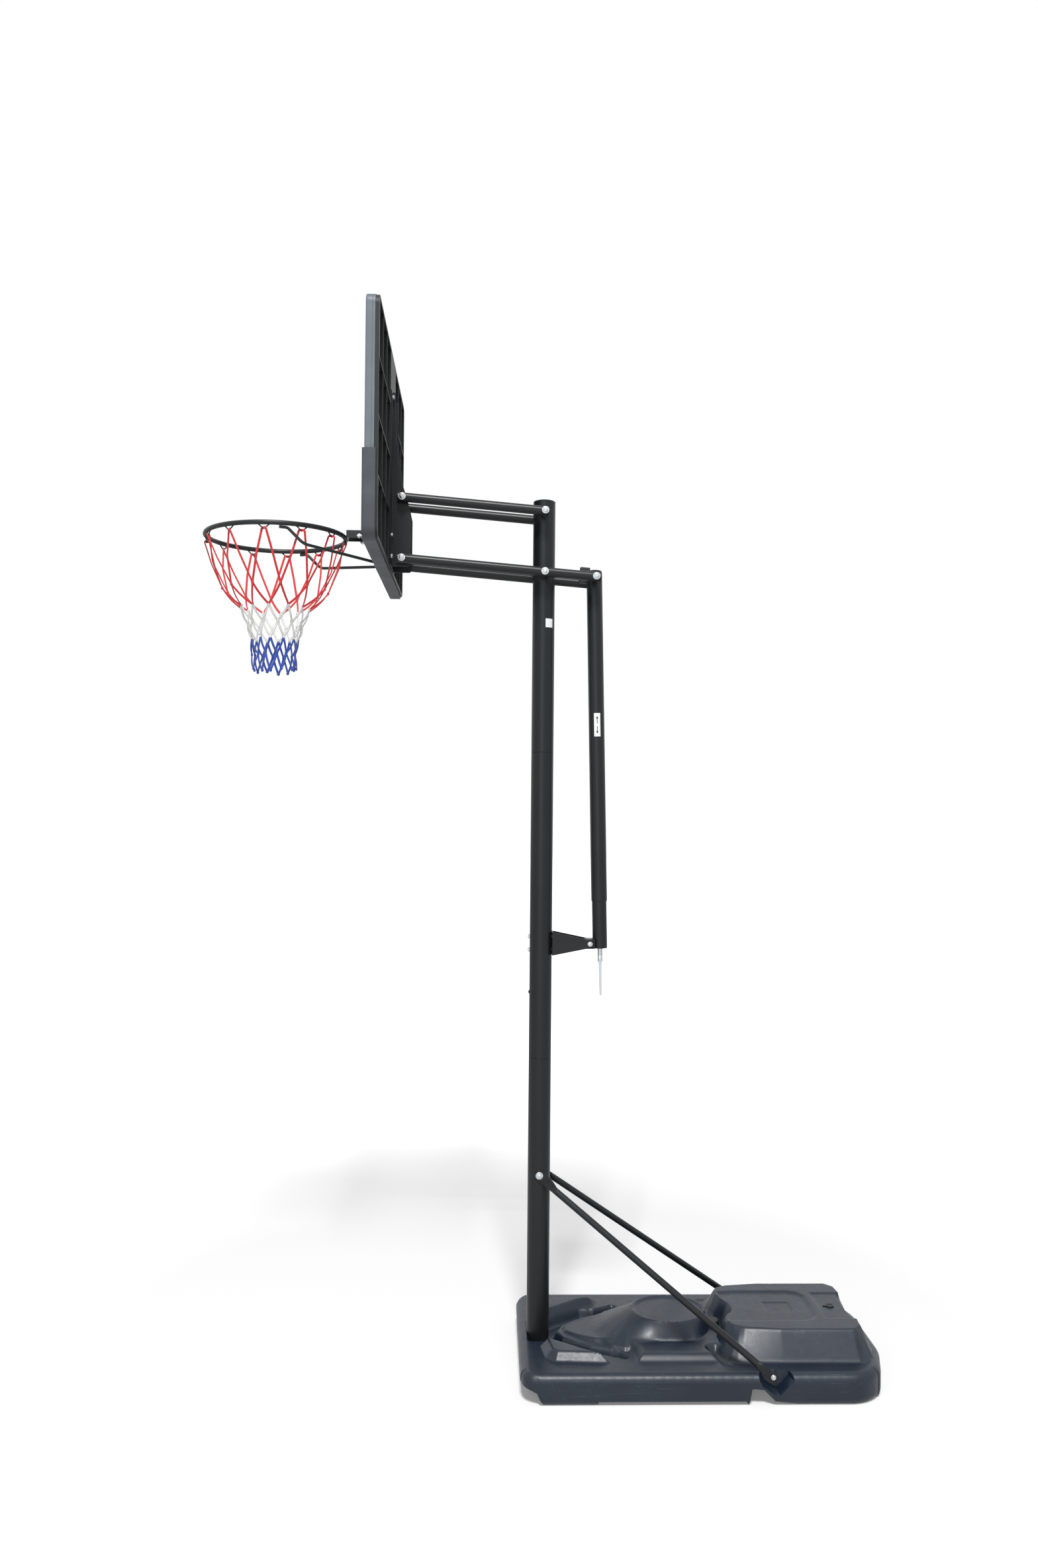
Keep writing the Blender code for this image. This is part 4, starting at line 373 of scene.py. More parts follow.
@dataclass(frozen=True)
class BraidedNylon(Finish):
    """Flat braided nylon cord, solution-dyed.

    Strands about 1.2 mm wide cross at a slant along the cord, and the fibres scatter light
    softly. The pattern follows the cord's own map, in metres along and across it. The wave
    texture repeats every 0.314 over its scale.
    """

    slot: str = "net_cord"
    relief: Pair = (0.0005, 0.7)
    strand: float = 0.0024
    wave: float = 0.314
    slant: float = 0.7
    sheen: float = 0.35
    fuzz: Patch = Patch(60.0, 4.0, 0.5, 0.9, 0.35)

    def pattern(self, tree: Tree, shader: Node, place: Socket) -> tuple[Socket, Socket]:
        """Adds the crossing strands with painted shade where they dip, and the fibres' sheen.

        Args:
            tree: The material's nodes.
            shader: The Principled shader.
            place: The place on the piece, in metres.

        Returns:
            The colour and the height of the weave.
        """
        shader.inputs["Sheen Weight"].default_value = self.sheen
        along = add(tree, "UVMap", uv_map="cord").outputs["UV"]
        braids = []
        for turn in (self.slant, -self.slant):
            lay = add(tree, "Mapping", {"Vector": along, "Rotation": (0.0, 0.0, turn)})
            inputs = {"Vector": lay.outputs[0], "Scale": self.wave / self.strand}
            braids.append(add(tree, "TexWave", inputs).outputs["Fac"])
        weave = add(tree, "Math", {0: braids[0], 1: braids[1]}, operation="MULTIPLY").outputs[0]
        # Painted shade: where the strands dip under each other, the colour darkens towards the
        # cord's shade colour.
        dip = add(tree, "MapRange", {0: weave, 3: 0.55, 4: 0.0})
        colour = mixed(tree, dip.outputs[0], linear(self.colour), self.haze)
        _, faded = cloud(tree, place, self.fuzz)
        return mixed(tree, faded, colour, self.haze), weave


@dataclass(frozen=True)
class Glossy(Finish):
    """Smooth plastic sheet or film, whose sharp gloss ripples slowly."""

    slot: str = "board_face"
    haze: str = "#D3D6D8"
    patches: tuple[Patch, ...] = (Patch(22.0, 5.0, 0.4, 0.8, 0.5),)
    relief: Pair = (0.0002, 0.1)

    def texture(self, tree: Tree, place: Socket, first: Socket) -> Socket:
        """The height of the ripple, which is the first patch's noise."""
        return first


POWDER = PowderCoat("black_polyester_powder_coat", "#17191B", 0.34, 0.3)
RIM_POWDER = PowderCoat("charcoal_polyester_powder_coat", "#1D2022", 0.36, 0.35, "rim_coat")
ZINC = ZincPlate("blue_passivated_zinc_plate", "#C6CBD0", 0.26)
# The skin's blue is partly the plastic's own navy and partly a painted reflection of a blue sky.
TANK_SKIN = BlowMoulded("blow_moulded_polyethylene", "#0B1828", 0.38)
BOARD_TRIM = Moulded(
    "moulded_grey_polypropylene", "#646C73", 0.45, 0.35, "frame_plastic", "#737B82"
)
BOARD_SHELL = Moulded(
    "moulded_board_polypropylene", "#17191B", 0.5, 0.35, "frame_plastic", "#222527"
)
PAD_SKIN = FoamSkin("grained_polyurethane_foam_skin", "#33373C", 0.55)
BLACK_ABS = Moulded("moulded_black_abs", "#141517", 0.42, slot="cap_plastic", haze="#26282A")
WHEEL_PLASTIC = Moulded(
    "moulded_black_polypropylene", "#111214", 0.6, slot="wheel_plastic", haze="#2E2F30"
)
FACE_SHEET = Glossy("extruded_white_acrylic", "#E4E7E9", 0.12)
LABEL = Glossy("printed_white_vinyl", "#E9EAEA", 0.35)
LABEL_INK = Glossy("black_vinyl_ink", "#1A1B1D", 0.4, slot="cap_plastic", haze="#26282A")
WATER = Glossy("still_tap_water", "#8FB2C8", 0.05, slot="water", haze="#86A9C0")
# Each cord's second colour is painted shade in the weave's dips, and also the tone that the cord
# fades to in random patches.
CORDS = {
    dye: BraidedNylon(f"{dye.name.lower()}_braided_nylon", dye.value, 0.75, haze=painted_shade_and_fade)
    for dye, painted_shade_and_fade in zip(NetColour, ("#B01F24", "#BFC0C0", "#18357F"))
}


# Surfaces


def grid_quads(rows: int, columns: int, ring_rows: bool, ring_columns: bool) -> Array:
    """Numbers the corners of each quad of a grid whose points run row by row.

    Args:
        rows: How many rows of points there are.
        columns: How many points a row has.
        ring_rows: Whether the last row joins the first.
        ring_columns: Whether each row's last point joins its first.

    Returns:
        One row of four point numbers for each quad.
    """
    row = np.arange(rows if ring_rows else rows - 1)
    column = np.arange(columns if ring_columns else columns - 1)
    row, column = np.meshgrid(row, column, indexing="ij")
    below, beside = (row + 1) % rows, (column + 1) % columns
    corners = (
        row * columns + column,
        row * columns + beside,
        below * columns + beside,
        below * columns + column,
    )
    return np.stack(corners, axis=-1).reshape(-1, 4)


def rounded(
    corners: Array | list, radius: Array | float, steps: int = 4, ring: bool = False
) -> Array:
    """Rounds the corners of a path with true arcs.

    An arc of radius R that turns by an angle T leaves both sides at R tan(T / 2) from the
    corner C, at A and B. It is the rational curve ((1-t)^2 A + 2wt(1-t) C + t^2 B) divided
    by the sum of its weights, where w is cos(T / 2). It takes at most 0.49 of a side.

    Args:
        corners: The path's corners, in two or three dimensions.
        radius: One radius, or one for each corner.
        steps: How many pieces an arc has.
        ring: Whether the path is closed.

    Returns:
        The points of the rounded path.
    """
    corners = np.asarray(corners, float)
    radius = np.broadcast_to(np.asarray(radius, float), len(corners))[:, None]
    before = np.roll(corners, 1, axis=0) - corners
    after = np.roll(corners, -1, axis=0) - corners
    run_in = np.linalg.norm(before, axis=1, keepdims=True)
    run_out = np.linalg.norm(after, axis=1, keepdims=True)
    before, after = before / run_in, after / run_out
    turn = np.pi - np.arccos(np.clip((before * after).sum(1, keepdims=True), -1, 1))
    reach = np.minimum(radius * np.tan(turn / 2), 0.49 * np.minimum(run_in, run_out))
    start, end = corners + before * reach, corners + after * reach
    t = np.linspace(0, 1, steps + 1)[None, :, None]
    weight = np.cos(turn / 2)[:, None] * 2 * t * (1 - t)
    top = (1 - t) ** 2 * start[:, None] + weight * corners[:, None] + t**2 * end[:, None]
    arcs = top / ((1 - t) ** 2 + weight + t**2)
    if ring:
        return arcs.reshape(-1, corners.shape[1])
    middle = arcs[1:-1].reshape(-1, corners.shape[1])
    return np.concatenate([corners[:1], middle, corners[-1:]])


def drawn_in(outline: Array | list, distance: float) -> Array:
    """Moves a closed plane outline inwards.

    Each point moves along the mean of its two sides' normals, by the distance over the
    cosine of the half angle between them, which counts as 0.4 at least.

    Args:
        outline: Points that run anticlockwise.
        distance: How far the sides move in. A negative one moves them out.

    Returns:
        The moved points.
    """
    outline = np.asarray(outline)
    side = np.roll(outline, -1, axis=0) - outline
    side = side / np.maximum(np.linalg.norm(side, axis=1, keepdims=True), 1e-9)
    normal = np.stack([-side[:, 1], side[:, 0]], axis=1)
    mean = normal + np.roll(normal, 1, axis=0)
    mean = mean / np.maximum(np.linalg.norm(mean, axis=1, keepdims=True), 1e-9)
    cosine = np.maximum((mean * normal).sum(1, keepdims=True), 0.4)
    return outline + mean * distance / cosine


def depth_inside(x: Array, y: Array, outline: Array) -> Array:
    """How far each point lies inside a closed outline.

    It is the least distance to any side, and negative where a ray from the point crosses
    the outline an even number of times.

    Args:
        x: The points' first coordinates.
        y: Their second coordinates.
        outline: The outline's corners.

    Returns:
        The depth at each point.
    """
    start = np.asarray(outline, float)
    end = np.roll(start, -1, axis=0)
    run_x, run_y = (end - start).T
    from_x, from_y = x[..., None] - start[:, 0], y[..., None] - start[:, 1]
    share = np.clip((from_x * run_x + from_y * run_y) / (run_x**2 + run_y**2), 0, 1)
    distance = np.hypot(from_x - share * run_x, from_y - share * run_y).min(-1)
    spans = (start[:, 1] > y[..., None]) != (end[:, 1] > y[..., None])
    slope = run_x / np.where(run_y == 0, 1, run_y)
    crossings = (spans & (from_x < slope * from_y)).sum(-1)
    return np.where(crossings % 2 == 1, distance, -distance)


def soft_least(a: Array, b: Array | float, blend: float) -> Array:
    """The lesser of two heights, with a round of this size where they cross."""
    near = np.maximum(blend - np.abs(a - b), 0) / blend
    return np.minimum(a, b) - near**2 * blend / 4


def soft_most(a: Array, b: Array | float, blend: float) -> Array:
    """The greater of two heights, with a fillet of this size where they cross."""
    near = np.maximum(blend - np.abs(a - b), 0) / blend
    return np.maximum(a, b) + near**2 * blend / 4


def standing(place: tuple | Vector, axis: tuple | Vector) -> Matrix:
    """The matrix that puts a shape's own Z along an axis at a place."""
    turn = Vector(axis).to_track_quat("Z", "Y").to_matrix().to_4x4()
    return Matrix.Translation(Vector(place)) @ turn


def about_z(angle: float) -> Array:
    """The turn about Z by an angle, as a matrix of numpy's."""
    return np.array(Matrix.Rotation(angle, 3, "Z"))


def circle(count: int) -> Array:
    """Points of the circle of radius one about the origin."""
    turn = np.linspace(0, 2 * np.pi, count, endpoint=False)
    return np.column_stack([np.cos(turn), np.sin(turn)])


def settled(obj: Object, body: str, node: str = "") -> Object:
    """Puts a new object in the scene and says what it belongs to.

    Args:
        obj: The object.
        body: The CAD body that it moves with.
        node: The CAD node that it replaces, if any.

    Returns:
        The object as it is used.
    """
    bpy.context.scene.collection.objects.link(obj)
    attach(obj, body)
    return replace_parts(obj, node) if node else obj


@dataclass
class Shell:
    """A closed surface: its points, its quads, the flat ends that close it, and its map."""

    points: Array
    quads: Array
    ends: list[Array] = field(default_factory=list)
    cord: Array | None = None

    @classmethod
    def over(
        cls, rings: Array | list, closed: bool = False, cord: Array | None = None
    ) -> "Shell":
        """Lays a skin over rings of points.

        Args:
            rings: The rings, each of the same count of points in space.
            closed: Whether the last ring joins the first, so that no ends are needed.
            cord: The skin's map, one row for each point.

        Returns:
            The surface.
        """
        rings = np.asarray(rings)
        count, sides = rings.shape[:2]
        quads = grid_quads(count, sides, closed, True)
        last = (count - 1) * sides + np.arange(sides)
        ends = [] if closed else [np.arange(sides)[::-1], last]
        return cls(rings.reshape(-1, 3), quads, ends, cord)

    def moved(self, matrix: Matrix) -> "Shell":
        """A copy of the surface, placed by a matrix."""
        points = self.points @ np.array(matrix)[:3, :3].T + np.array(matrix.translation)
        return Shell(points, self.quads, self.ends, self.cord)

    def outward(self) -> "Shell":
        """Turns every face outwards, judged by the sign of the volume that they enclose.

        Returns:
            The surface, with its faces turned round if they pointed in.
        """
        volume = 0.0
        for corners in (self.quads, *(end[None, :] for end in self.ends)):
            place = self.points[corners]
            fans = np.cross(place[:, 1:-1], place[:, 2:])
            volume += (place[:, :1] * fans).sum()
        if volume >= 0:
            return self
        ends = [end[::-1] for end in self.ends]
        return Shell(self.points, self.quads[:, ::-1], ends, self.cord)

    def mesh(self, name: str) -> bpy.types.Mesh:
        """The surface as a Blender mesh, faces outwards.

        Args:
            name: The mesh's name.

        Returns:
            The mesh.
        """
        shell = self.outward()
        mesh = bpy.data.meshes.new(name)
        faces = shell.quads.tolist() + [end.tolist() for end in shell.ends]
        mesh.from_pydata(shell.points.tolist(), [], faces)
        return mesh

    def piece(
        self, name: str, finish: Finish, body: str, node: str = "", crease: float = CREASE
    ) -> Object:
        """Makes the surface a piece of the stand.

        Args:
            name: The piece's name.
            finish: What it wears.
            body: The CAD body that it moves with.
            node: The CAD node that it replaces, if any.
            crease: Edges that turn by more than this many degrees stay sharp.

        Returns:
            The new object, at the origin.
        """
        mesh = self.mesh(name)
        mesh.materials.append(finish.material())
        mesh.shade_smooth()
        mesh.set_sharp_from_angle(angle=np.radians(crease))
        if self.cord is not None:
            corner = np.empty(len(mesh.loops), np.int32)
            mesh.loops.foreach_get("vertex_index", corner)
            layer = mesh.uv_layers.new(name="cord")
            layer.data.foreach_set("uv", self.cord[corner].astype(np.float32).ravel())
        return settled(bpy.data.objects.new(name, mesh), body, node)


def together(shells: list[Shell]) -> Shell:
    """Puts several surfaces into one.

    Args:
        shells: The surfaces, each turned outwards on its own.

    Returns:
        One surface that holds them all.
    """
    shells = [shell.outward() for shell in shells]
    offsets = np.cumsum([0, *(len(shell.points) for shell in shells[:-1])])
    points = np.concatenate([shell.points for shell in shells])
    quads = np.concatenate([s.quads + offset for s, offset in zip(shells, offsets)])
    ends = [end + offset for s, offset in zip(shells, offsets) for end in s.ends]
    mapped = all(shell.cord is not None for shell in shells)
    cord = np.concatenate([shell.cord for shell in shells]) if mapped else None
    return Shell(points, quads, ends, cord)


def turned(profile: list | Array, sides: int = 64, hollow: bool = False) -> Shell:
    """Turns a profile about Z.

    At angle a, a profile point of height h and radius r lies at (r cos a, r sin a, h). A
    third number from 0 to 1 draws the circle out to the hexagon that holds it, whose
    radius is r / cos(a'), with a' the angle to the middle of the nearest flat.

    Args:
        profile: Rows of height, radius and, where it isn't 0, how hexagonal the row is.
        sides: How many sides stand in for the circle.
        hollow: Whether the profile is a closed loop, as a tube's wall is.

    Returns:
        The turned surface, closed.
    """
    rows = np.array([(*row, 0.0)[:3] for row in profile], float)
    angle = np.linspace(0, 2 * np.pi, sides, endpoint=False)
    to_flat = (angle + np.pi / 6) % (np.pi / 3) - np.pi / 6
    radius = rows[:, 1:2] * (1 + rows[:, 2:] * (1 / np.cos(to_flat) - 1))
    height = np.broadcast_to(rows[:, :1], radius.shape)
    return Shell.over(np.dstack([radius[..., None] * circle(sides), height]), hollow)


def swept(
    path: Array, section: Array, normal: Array | tuple, ring: bool = False
) -> Shell:
    """Carries a section along a path.

    At each path point with tangent T, the side is T x N and the rise is side x T, both of
    length one. A section point (u, v) lies at path + u side + v rise.

    Args:
        path: The points of the path.
        section: The section's points, anticlockwise.
        normal: The way that the section's second axis leans, once or at each point.
        ring: Whether the path is closed.

    Returns:
        The swept surface, closed, mapped along and across the path.
    """
    if ring:
        tangent = np.roll(path, -1, axis=0) - np.roll(path, 1, axis=0)
    else:
        tangent = np.gradient(path, axis=0)
    tangent = tangent / np.linalg.norm(tangent, axis=1, keepdims=True)
    side = np.cross(tangent, np.broadcast_to(normal, path.shape))
    side = side / np.linalg.norm(side, axis=1, keepdims=True)
    rise = np.cross(side, tangent)
    across, up = section[None, :, :1], section[None, :, 1:]
    points = path[:, None] + across * side[:, None] + up * rise[:, None]
    length = np.concatenate([[0], np.cumsum(np.linalg.norm(np.diff(path, axis=0), axis=1))])
    along = np.repeat(length, len(section))
    return Shell.over(points, ring, np.column_stack([along, np.tile(section[:, 0], len(path))]))


def slab(outline: Array, low: float, high: float, edge: float, steps: int = 2) -> Shell:
    """Stands an outline up between two heights, with its edges rounded.

    A row at angle a of the round is drawn in by edge (1 - cos a) and lies
    edge (1 - sin a) from the face.

    Args:
        outline: The outline's points, anticlockwise.
        low: The lower face's height.
        high: The upper face's height.
        edge: The round's radius.
        steps: How many pieces a round has.

    Returns:
        The slab's surface, closed.
    """
    angle = np.linspace(0, np.pi / 2, steps + 1)
    inset, drop = edge * (1 - np.cos(angle)), edge * (1 - np.sin(angle))
    insets = np.concatenate([inset[::-1], inset])
    heights = np.concatenate([low + drop[::-1], high - drop])
    return Shell.over([np.insert(drawn_in(outline, d), 2, h, axis=1)
                       for d, h in zip(insets, heights)])


def disc(low: float, high: float, radius: float, trim: float) -> list[tuple]:
    """A cylinder's profile, with both its edges broken by a trim."""
    return [(low, radius - trim), (low + trim, radius), (high - trim, radius),
            (high, radius - trim)]


def tube_profile(low: float, high: float, radius: float, wall: float) -> list[tuple]:
    """A tube's wall as a closed profile, with its end edges broken.

    Args:
        low: Where the tube starts.
        high: Where it ends.
        radius: Its outer radius.
        wall: How thick the wall is.

    Returns:
        Rows of height and radius.
    """
    inner, trim = radius - wall, min(0.0006, wall * 0.4)
    return [(low + trim, radius), (high - trim, radius), (high, radius - trim),
            (high, inner + trim), (high - trim, inner), (low + trim, inner),
            (low, inner + trim), (low, radius - trim)]


def carved(obj: Object, cutters: list[Shell]) -> Object:
    """Cuts closed shapes out of a piece and keeps the result as its mesh.

    Args:
        obj: The piece.
        cutters: The shapes, cut out one after another.

    Returns:
        The same piece.
    """
    helpers = []
    for i, cutter in enumerate(cutters):
        helper = bpy.data.objects.new(f"cutter_{i}", cutter.mesh(f"cutter_{i}"))
        bpy.context.scene.collection.objects.link(helper)
        helpers.append(helper)
        modifier = obj.modifiers.new(helper.name, "BOOLEAN")
        modifier.operation = "DIFFERENCE"
        modifier.solver = "MANIFOLD"
        modifier.object = helper
    bpy.context.view_layer.update()
    graph = bpy.context.evaluated_depsgraph_get()
    made = bpy.data.meshes.new_from_object(obj.evaluated_get(graph))
    obj.modifiers.clear()
    obj.data = made
    made.shade_smooth()
    made.set_sharp_from_angle(angle=np.radians(CREASE))
    for helper in helpers:
        bpy.data.objects.remove(helper)
    return obj


def softened(node: str, finish: Finish, body: str, edge: float = 0.0008) -> Object:
    """Copies a CAD piece, merges its faces and rounds its hard edges.

    Args:
        node: The CAD node, which the copy replaces.
        finish: What the copy wears.
        body: The CAD body that it moves with.
        edge: How wide the round is.

    Returns:
        The new piece.
    """
    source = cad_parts[node]
    mesh = source.data.copy()
    mesh.transform(source.matrix_world)
    form = bmesh.new()
    form.from_mesh(mesh)
    bmesh.ops.remove_doubles(form, verts=form.verts, dist=MERGE_GAP)
    flat = np.radians(FLAT_ANGLE)
    bmesh.ops.dissolve_limit(form, angle_limit=flat, verts=form.verts, edges=form.edges)
    form.to_mesh(mesh)
    form.free()
    mesh.name = f"{node}_softened"
    mesh.materials.clear()
    mesh.materials.append(finish.material())
    mesh.shade_smooth()
    mesh.set_sharp_from_angle(angle=np.radians(CREASE))
    obj = bpy.data.objects.new(mesh.name, mesh)
    bevel = obj.modifiers.new("edge", "BEVEL")
    bevel.width = edge
    bevel.segments = 2
    bevel.limit_method = "ANGLE"
    bevel.angle_limit = np.radians(CREASE)
    bevel.harden_normals = True
    return settled(obj, body, node)


def curved_label(
    radius: float, height: float, around: float, rise: float, half_angle: float
) -> Shell:
    """A sticker on a tube that stands along Z.

    Args:
        radius: The tube's radius.
        height: The height of the sticker's middle.
        around: The angle of its middle about Z, from X.
        rise: How tall it is.
        half_angle: How far it reaches each way round the tube.

    Returns:
        The sticker's surface.
    """
    turn = around + np.linspace(-half_angle, half_angle, 13)
    out = np.column_stack([np.cos(turn), np.sin(turn), turn * 0])
    path = out * (radius + FILM) + (0, 0, height)
    film = np.array([(-1, -1), (1, -1), (1, 1), (-1, 1)]) * (rise / 2, FILM / 2)
    return swept(path, film, out)


def dress(finish: Finish, node: str) -> None:
    """Gives a CAD node a finish."""
    for material_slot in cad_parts[node].material_slots:
        material_slot.material = finish.material()


# Base


@dataclass
class Relief:
    """The heights over a plan, built up from forms that meet in rounds."""

    x: Array
    y: Array
    z: Array
    low: float
    fillet: float = 0.006
    loft_fillet: float = 0.008
    loft_round: float = 0.007
    least_run: float = 0.002

    def raised(self, outline: Array, top: float, slope: float, blend: float) -> None:
        """Adds a form that climbs from its foot by its height over its slope.

        Args:
            outline: Its foot's outline.
            top: The height at which the climb stops.
            slope: How far in from the foot it stops.
            blend: The size of the round at the top.
        """
        climb = (top - self.low) / slope
        face = self.low + depth_inside(self.x, self.y, outline) * climb
        self.z = soft_most(self.z, soft_least(face, top, blend), self.fillet)

    def lofted(self, foot: Array, brim: Array, low: float, top: float) -> None:
        """Adds a form that climbs from one outline to another.

        Its share of the climb is its depth inside the foot, over that depth less the depth
        inside the brim. Outside the foot it falls away steeply.

        Args:
            foot: The foot's outline.
            brim: The brim's outline.
            low: The foot's height.
            top: The brim's height.
        """
        inside = depth_inside(self.x, self.y, foot)
        apart = np.maximum(inside - depth_inside(self.x, self.y, brim), self.least_run)
        share = np.where(inside > 0, np.minimum(inside / apart, 3), inside * 30)
        face = soft_least(low + (top - low) * share, top, self.loft_round)
        self.z = soft_most(self.z, face, self.loft_fillet)

    def sunk(self, outline: Array, floor: float, steep: float, blend: float) -> None:
        """Takes away a form.

        Args:
            outline: Its floor's outline, from which the walls rise outwards.
            floor: Its floor's height.
            steep: How many times their run the walls rise.
            blend: The size of the rounds at the floor and at the brim.
        """
        wall = floor - depth_inside(self.x, self.y, outline) * steep
        self.z = soft_least(self.z, soft_most(wall, floor, blend), blend)


@dataclass
class Tank:
    """The water-filled base: a blown skin with a plateau, a mound, a block and a valley."""

    centre_x: float = 0.51
    half_width: float = 0.335
    front_x: float = -0.066
    rear_x: float = 1.080
    bulge_x: float = 1.135
    deck_z: float = 0.098
    low_z: float = 0.078
    plateau_z: float = 0.120
    lobe_z: float = 0.106
    shoulder_z: float = 0.125
    mound_z: float = 0.178
    block_z: float = 0.184
    valley_z: float = 0.066
    dish_centre: Pair = (0.447, 0.0)
    dish_half: Pair = (0.122, 0.112)
    dish_depth: float = 0.009
    fender_y: float = 0.215
    arch_y: float = 0.22
    under_z: float = 0.0135
    cut_end: float = 0.4
    cut_foot: float = -0.1
    pocket_y: float = 0.300
    pocket_taper: float = 0.014
    wheel: Triple = (-0.018, 0.252, 0.052)
    well: Pair = (0.036, 0.020)
    axle_slot: Pair = (0.005, 0.0325)
    pole_radius: float = 0.0386
    pole_foot_z: float = 0.031
    strut_foot: Pair = (0.737, 0.084)
    boss: Pair = (0.014, 0.3151)
    crown: float = 0.028
    foot_round: float = 0.022
    band: float = 0.0032
    band_y: float = 0.28
    band_fade: float = 0.004
    wall: float = 0.008
    water_z: float = 0.108
    columns: int = 321
    rows: int = 181

    def outline(self) -> Array:
        """The base's outline in plan.

        Returns:
            Its points, anticlockwise.
        """
        half, bulge = self.half_width, self.half_width * 0.4
        corners = [(self.front_x, half), (self.front_x, -half), (self.rear_x, -half),
                   (self.bulge_x, -bulge), (self.bulge_x, bulge), (self.rear_x, half)]
        return rounded(corners, (0.05, 0.05, 0.12, 0.20, 0.20, 0.12), 16, ring=True)

    def reach(self, angle: Array, inset: float) -> Array:
        """How far the outline lies from the middle of the base.

        Args:
            angle: The ways to look, from the middle.
            inset: How far the outline is drawn in first.

        Returns:
            The distance each way, read between the outline's points.
        """
        corners = drawn_in(self.outline(), inset) - (self.centre_x, 0.0)
        share = np.linspace(0, 1, 32, endpoint=False)[None, :, None]
        run = np.roll(corners, -1, axis=0) - corners
        points = (corners[:, None] + run[:, None] * share).reshape(-1, 2)
        around = np.arctan2(points[:, 1], points[:, 0])
        order = np.argsort(around)
        distance = np.hypot(points[:, 0], points[:, 1])
        return np.interp(angle, around[order], distance[order], period=2 * np.pi)

    @staticmethod
    def mirrored(side: list[Pair]) -> Array:
        """An outline whose left side is given from front to rear, with its mirror image."""
        other = [(x, -y) for x, y in reversed(side) if y]
        return np.array([*side, *other]) * (1, -1)

    def height(self, x: Array, y: Array) -> Array:
        """The height of the top skin over each point of the plan.

        Args:
            x: The points' places along the base.
            y: Their places across it.

        Returns:
            The heights.
        """
        top = Relief(x, y, np.full(x.shape, self.deck_z), self.low_z)
        lobe = [(0.064, 0.0), (0.069, 0.024), (0.086, 0.046), (0.128, 0.086), (0.174, 0.118),
                (0.22, 0.138), (0.268, 0.158), (0.292, 0.19), (0.296, 0.262), (0.60, 0.262),
                (0.67, 0.20)]
        top.raised(self.mirrored(lobe), self.plateau_z, 0.040, 0.010)
        ease = np.clip((0.34 - x) / 0.26, 0, 1)
        slope_down = (self.plateau_z - self.lobe_z) * ease**2 * (3 - 2 * ease)
        cover = np.maximum(self.plateau_z + 0.001 - slope_down, self.deck_z)
        top.z = np.minimum(top.z, cover)
        shoulder = np.array([
            (-0.012, -0.115), (0.014, -0.074), (0.034, -0.072), (0.085, -0.108),
            (0.160, -0.165), (0.222, -0.205), (0.246, -0.256), (0.225, -0.264),
            (0.040, -0.252), (0.004, -0.215),
        ])
        bar = np.array([(0.196, -0.176), (0.206, -0.168), (0.286, -0.214), (0.280, -0.232),
                        (0.262, -0.232)])
        notch = np.array([(0.562, -0.176), (0.580, -0.170), (0.616, -0.262), (0.592, -0.262)])
        for way in (1, -1):
            top.raised(shoulder[::way] * (1, way), self.shoulder_z, 0.038, 0.006)
            top.raised(bar[::way] * (1, way), 0.121, 0.026, 0.004)
            top.sunk(notch[::way] * (1, way), 0.096, 1.2, 0.006)
        foot = [(0.180, 0.0), (0.184, 0.036), (0.206, 0.095), (0.240, 0.138), (0.283, 0.158),
                (0.335, 0.152), (0.385, 0.142), (0.43, 0.138), (0.480, 0.138), (0.526, 0.134),
                (0.552, 0.114), (0.580, 0.060), (0.586, 0.0)]
        brim = circle(72) * self.dish_half + self.dish_centre
        top.lofted(self.mirrored(foot), brim, 0.108, self.mound_z)
        dish = circle(72) * (np.array(self.dish_half) - 0.010) + self.dish_centre
        top.sunk(dish, self.mound_z - self.dish_depth, 0.7, 0.005)
        foot = [(0.634, 0.0), (0.630, 0.030), (0.604, 0.058), (0.588, 0.090), (0.584, 0.13),
                (0.588, 0.195), (0.604, 0.238), (0.64, 0.252), (1.045, 0.252),
                (1.096, 0.206), (1.108, 0.140), (1.082, 0.100), (1.078, 0.0)]
        brim = [(0.666, 0.0), (0.660, 0.036), (0.638, 0.066), (0.626, 0.098), (0.626, 0.130),
                (0.640, 0.158), (0.676, 0.178), (0.790, 0.194), (1.036, 0.194),
                (1.062, 0.166), (1.066, 0.112), (1.050, 0.086), (1.046, 0.0)]
        top.lofted(self.mirrored(foot), self.mirrored(brim), 0.092, self.block_z)
        panel = [(0.652, 0.0), (0.650, 0.060), (0.642, 0.112), (0.700, 0.118), (0.885, 0.118),
                 (0.915, 0.105), (0.929, 0.080), (0.932, 0.0)]
        top.sunk(self.mirrored(panel), self.block_z - 0.006, 0.7, 0.004)
        plate = [(0.868, 0.040), (0.778, 0.040), (0.778, -0.040), (0.868, -0.040)]
        inside = depth_inside(x, y, rounded(plate, 0.006, 5, ring=True))
        top.z = top.z - np.clip(inside / 0.004 + 0.5, 0, 1) * 0.0022
        recess = np.array([(0.966, -0.104), (1.12, -0.104), (1.12, 0.104), (0.966, 0.104)])
        top.sunk(recess, self.block_z - 0.0037, 0.8, 0.003)
        valley = [(-0.028, 0.070), (0.020, 0.070), (0.079, 0.118), (0.154, 0.172),
                  (0.208, 0.174), (0.276, 0.208), (0.284, 0.196), (0.262, 0.166),
                  (0.215, 0.146), (0.168, 0.126), (0.120, 0.092), (0.078, 0.052),
                  (0.058, 0.0)]
        floor = np.concatenate([[(-0.028, 0.0)], self.mirrored(valley)])
        top.sunk(drawn_in(floor, 0.004), self.valley_z, 2.6, 0.008)
        return top.z

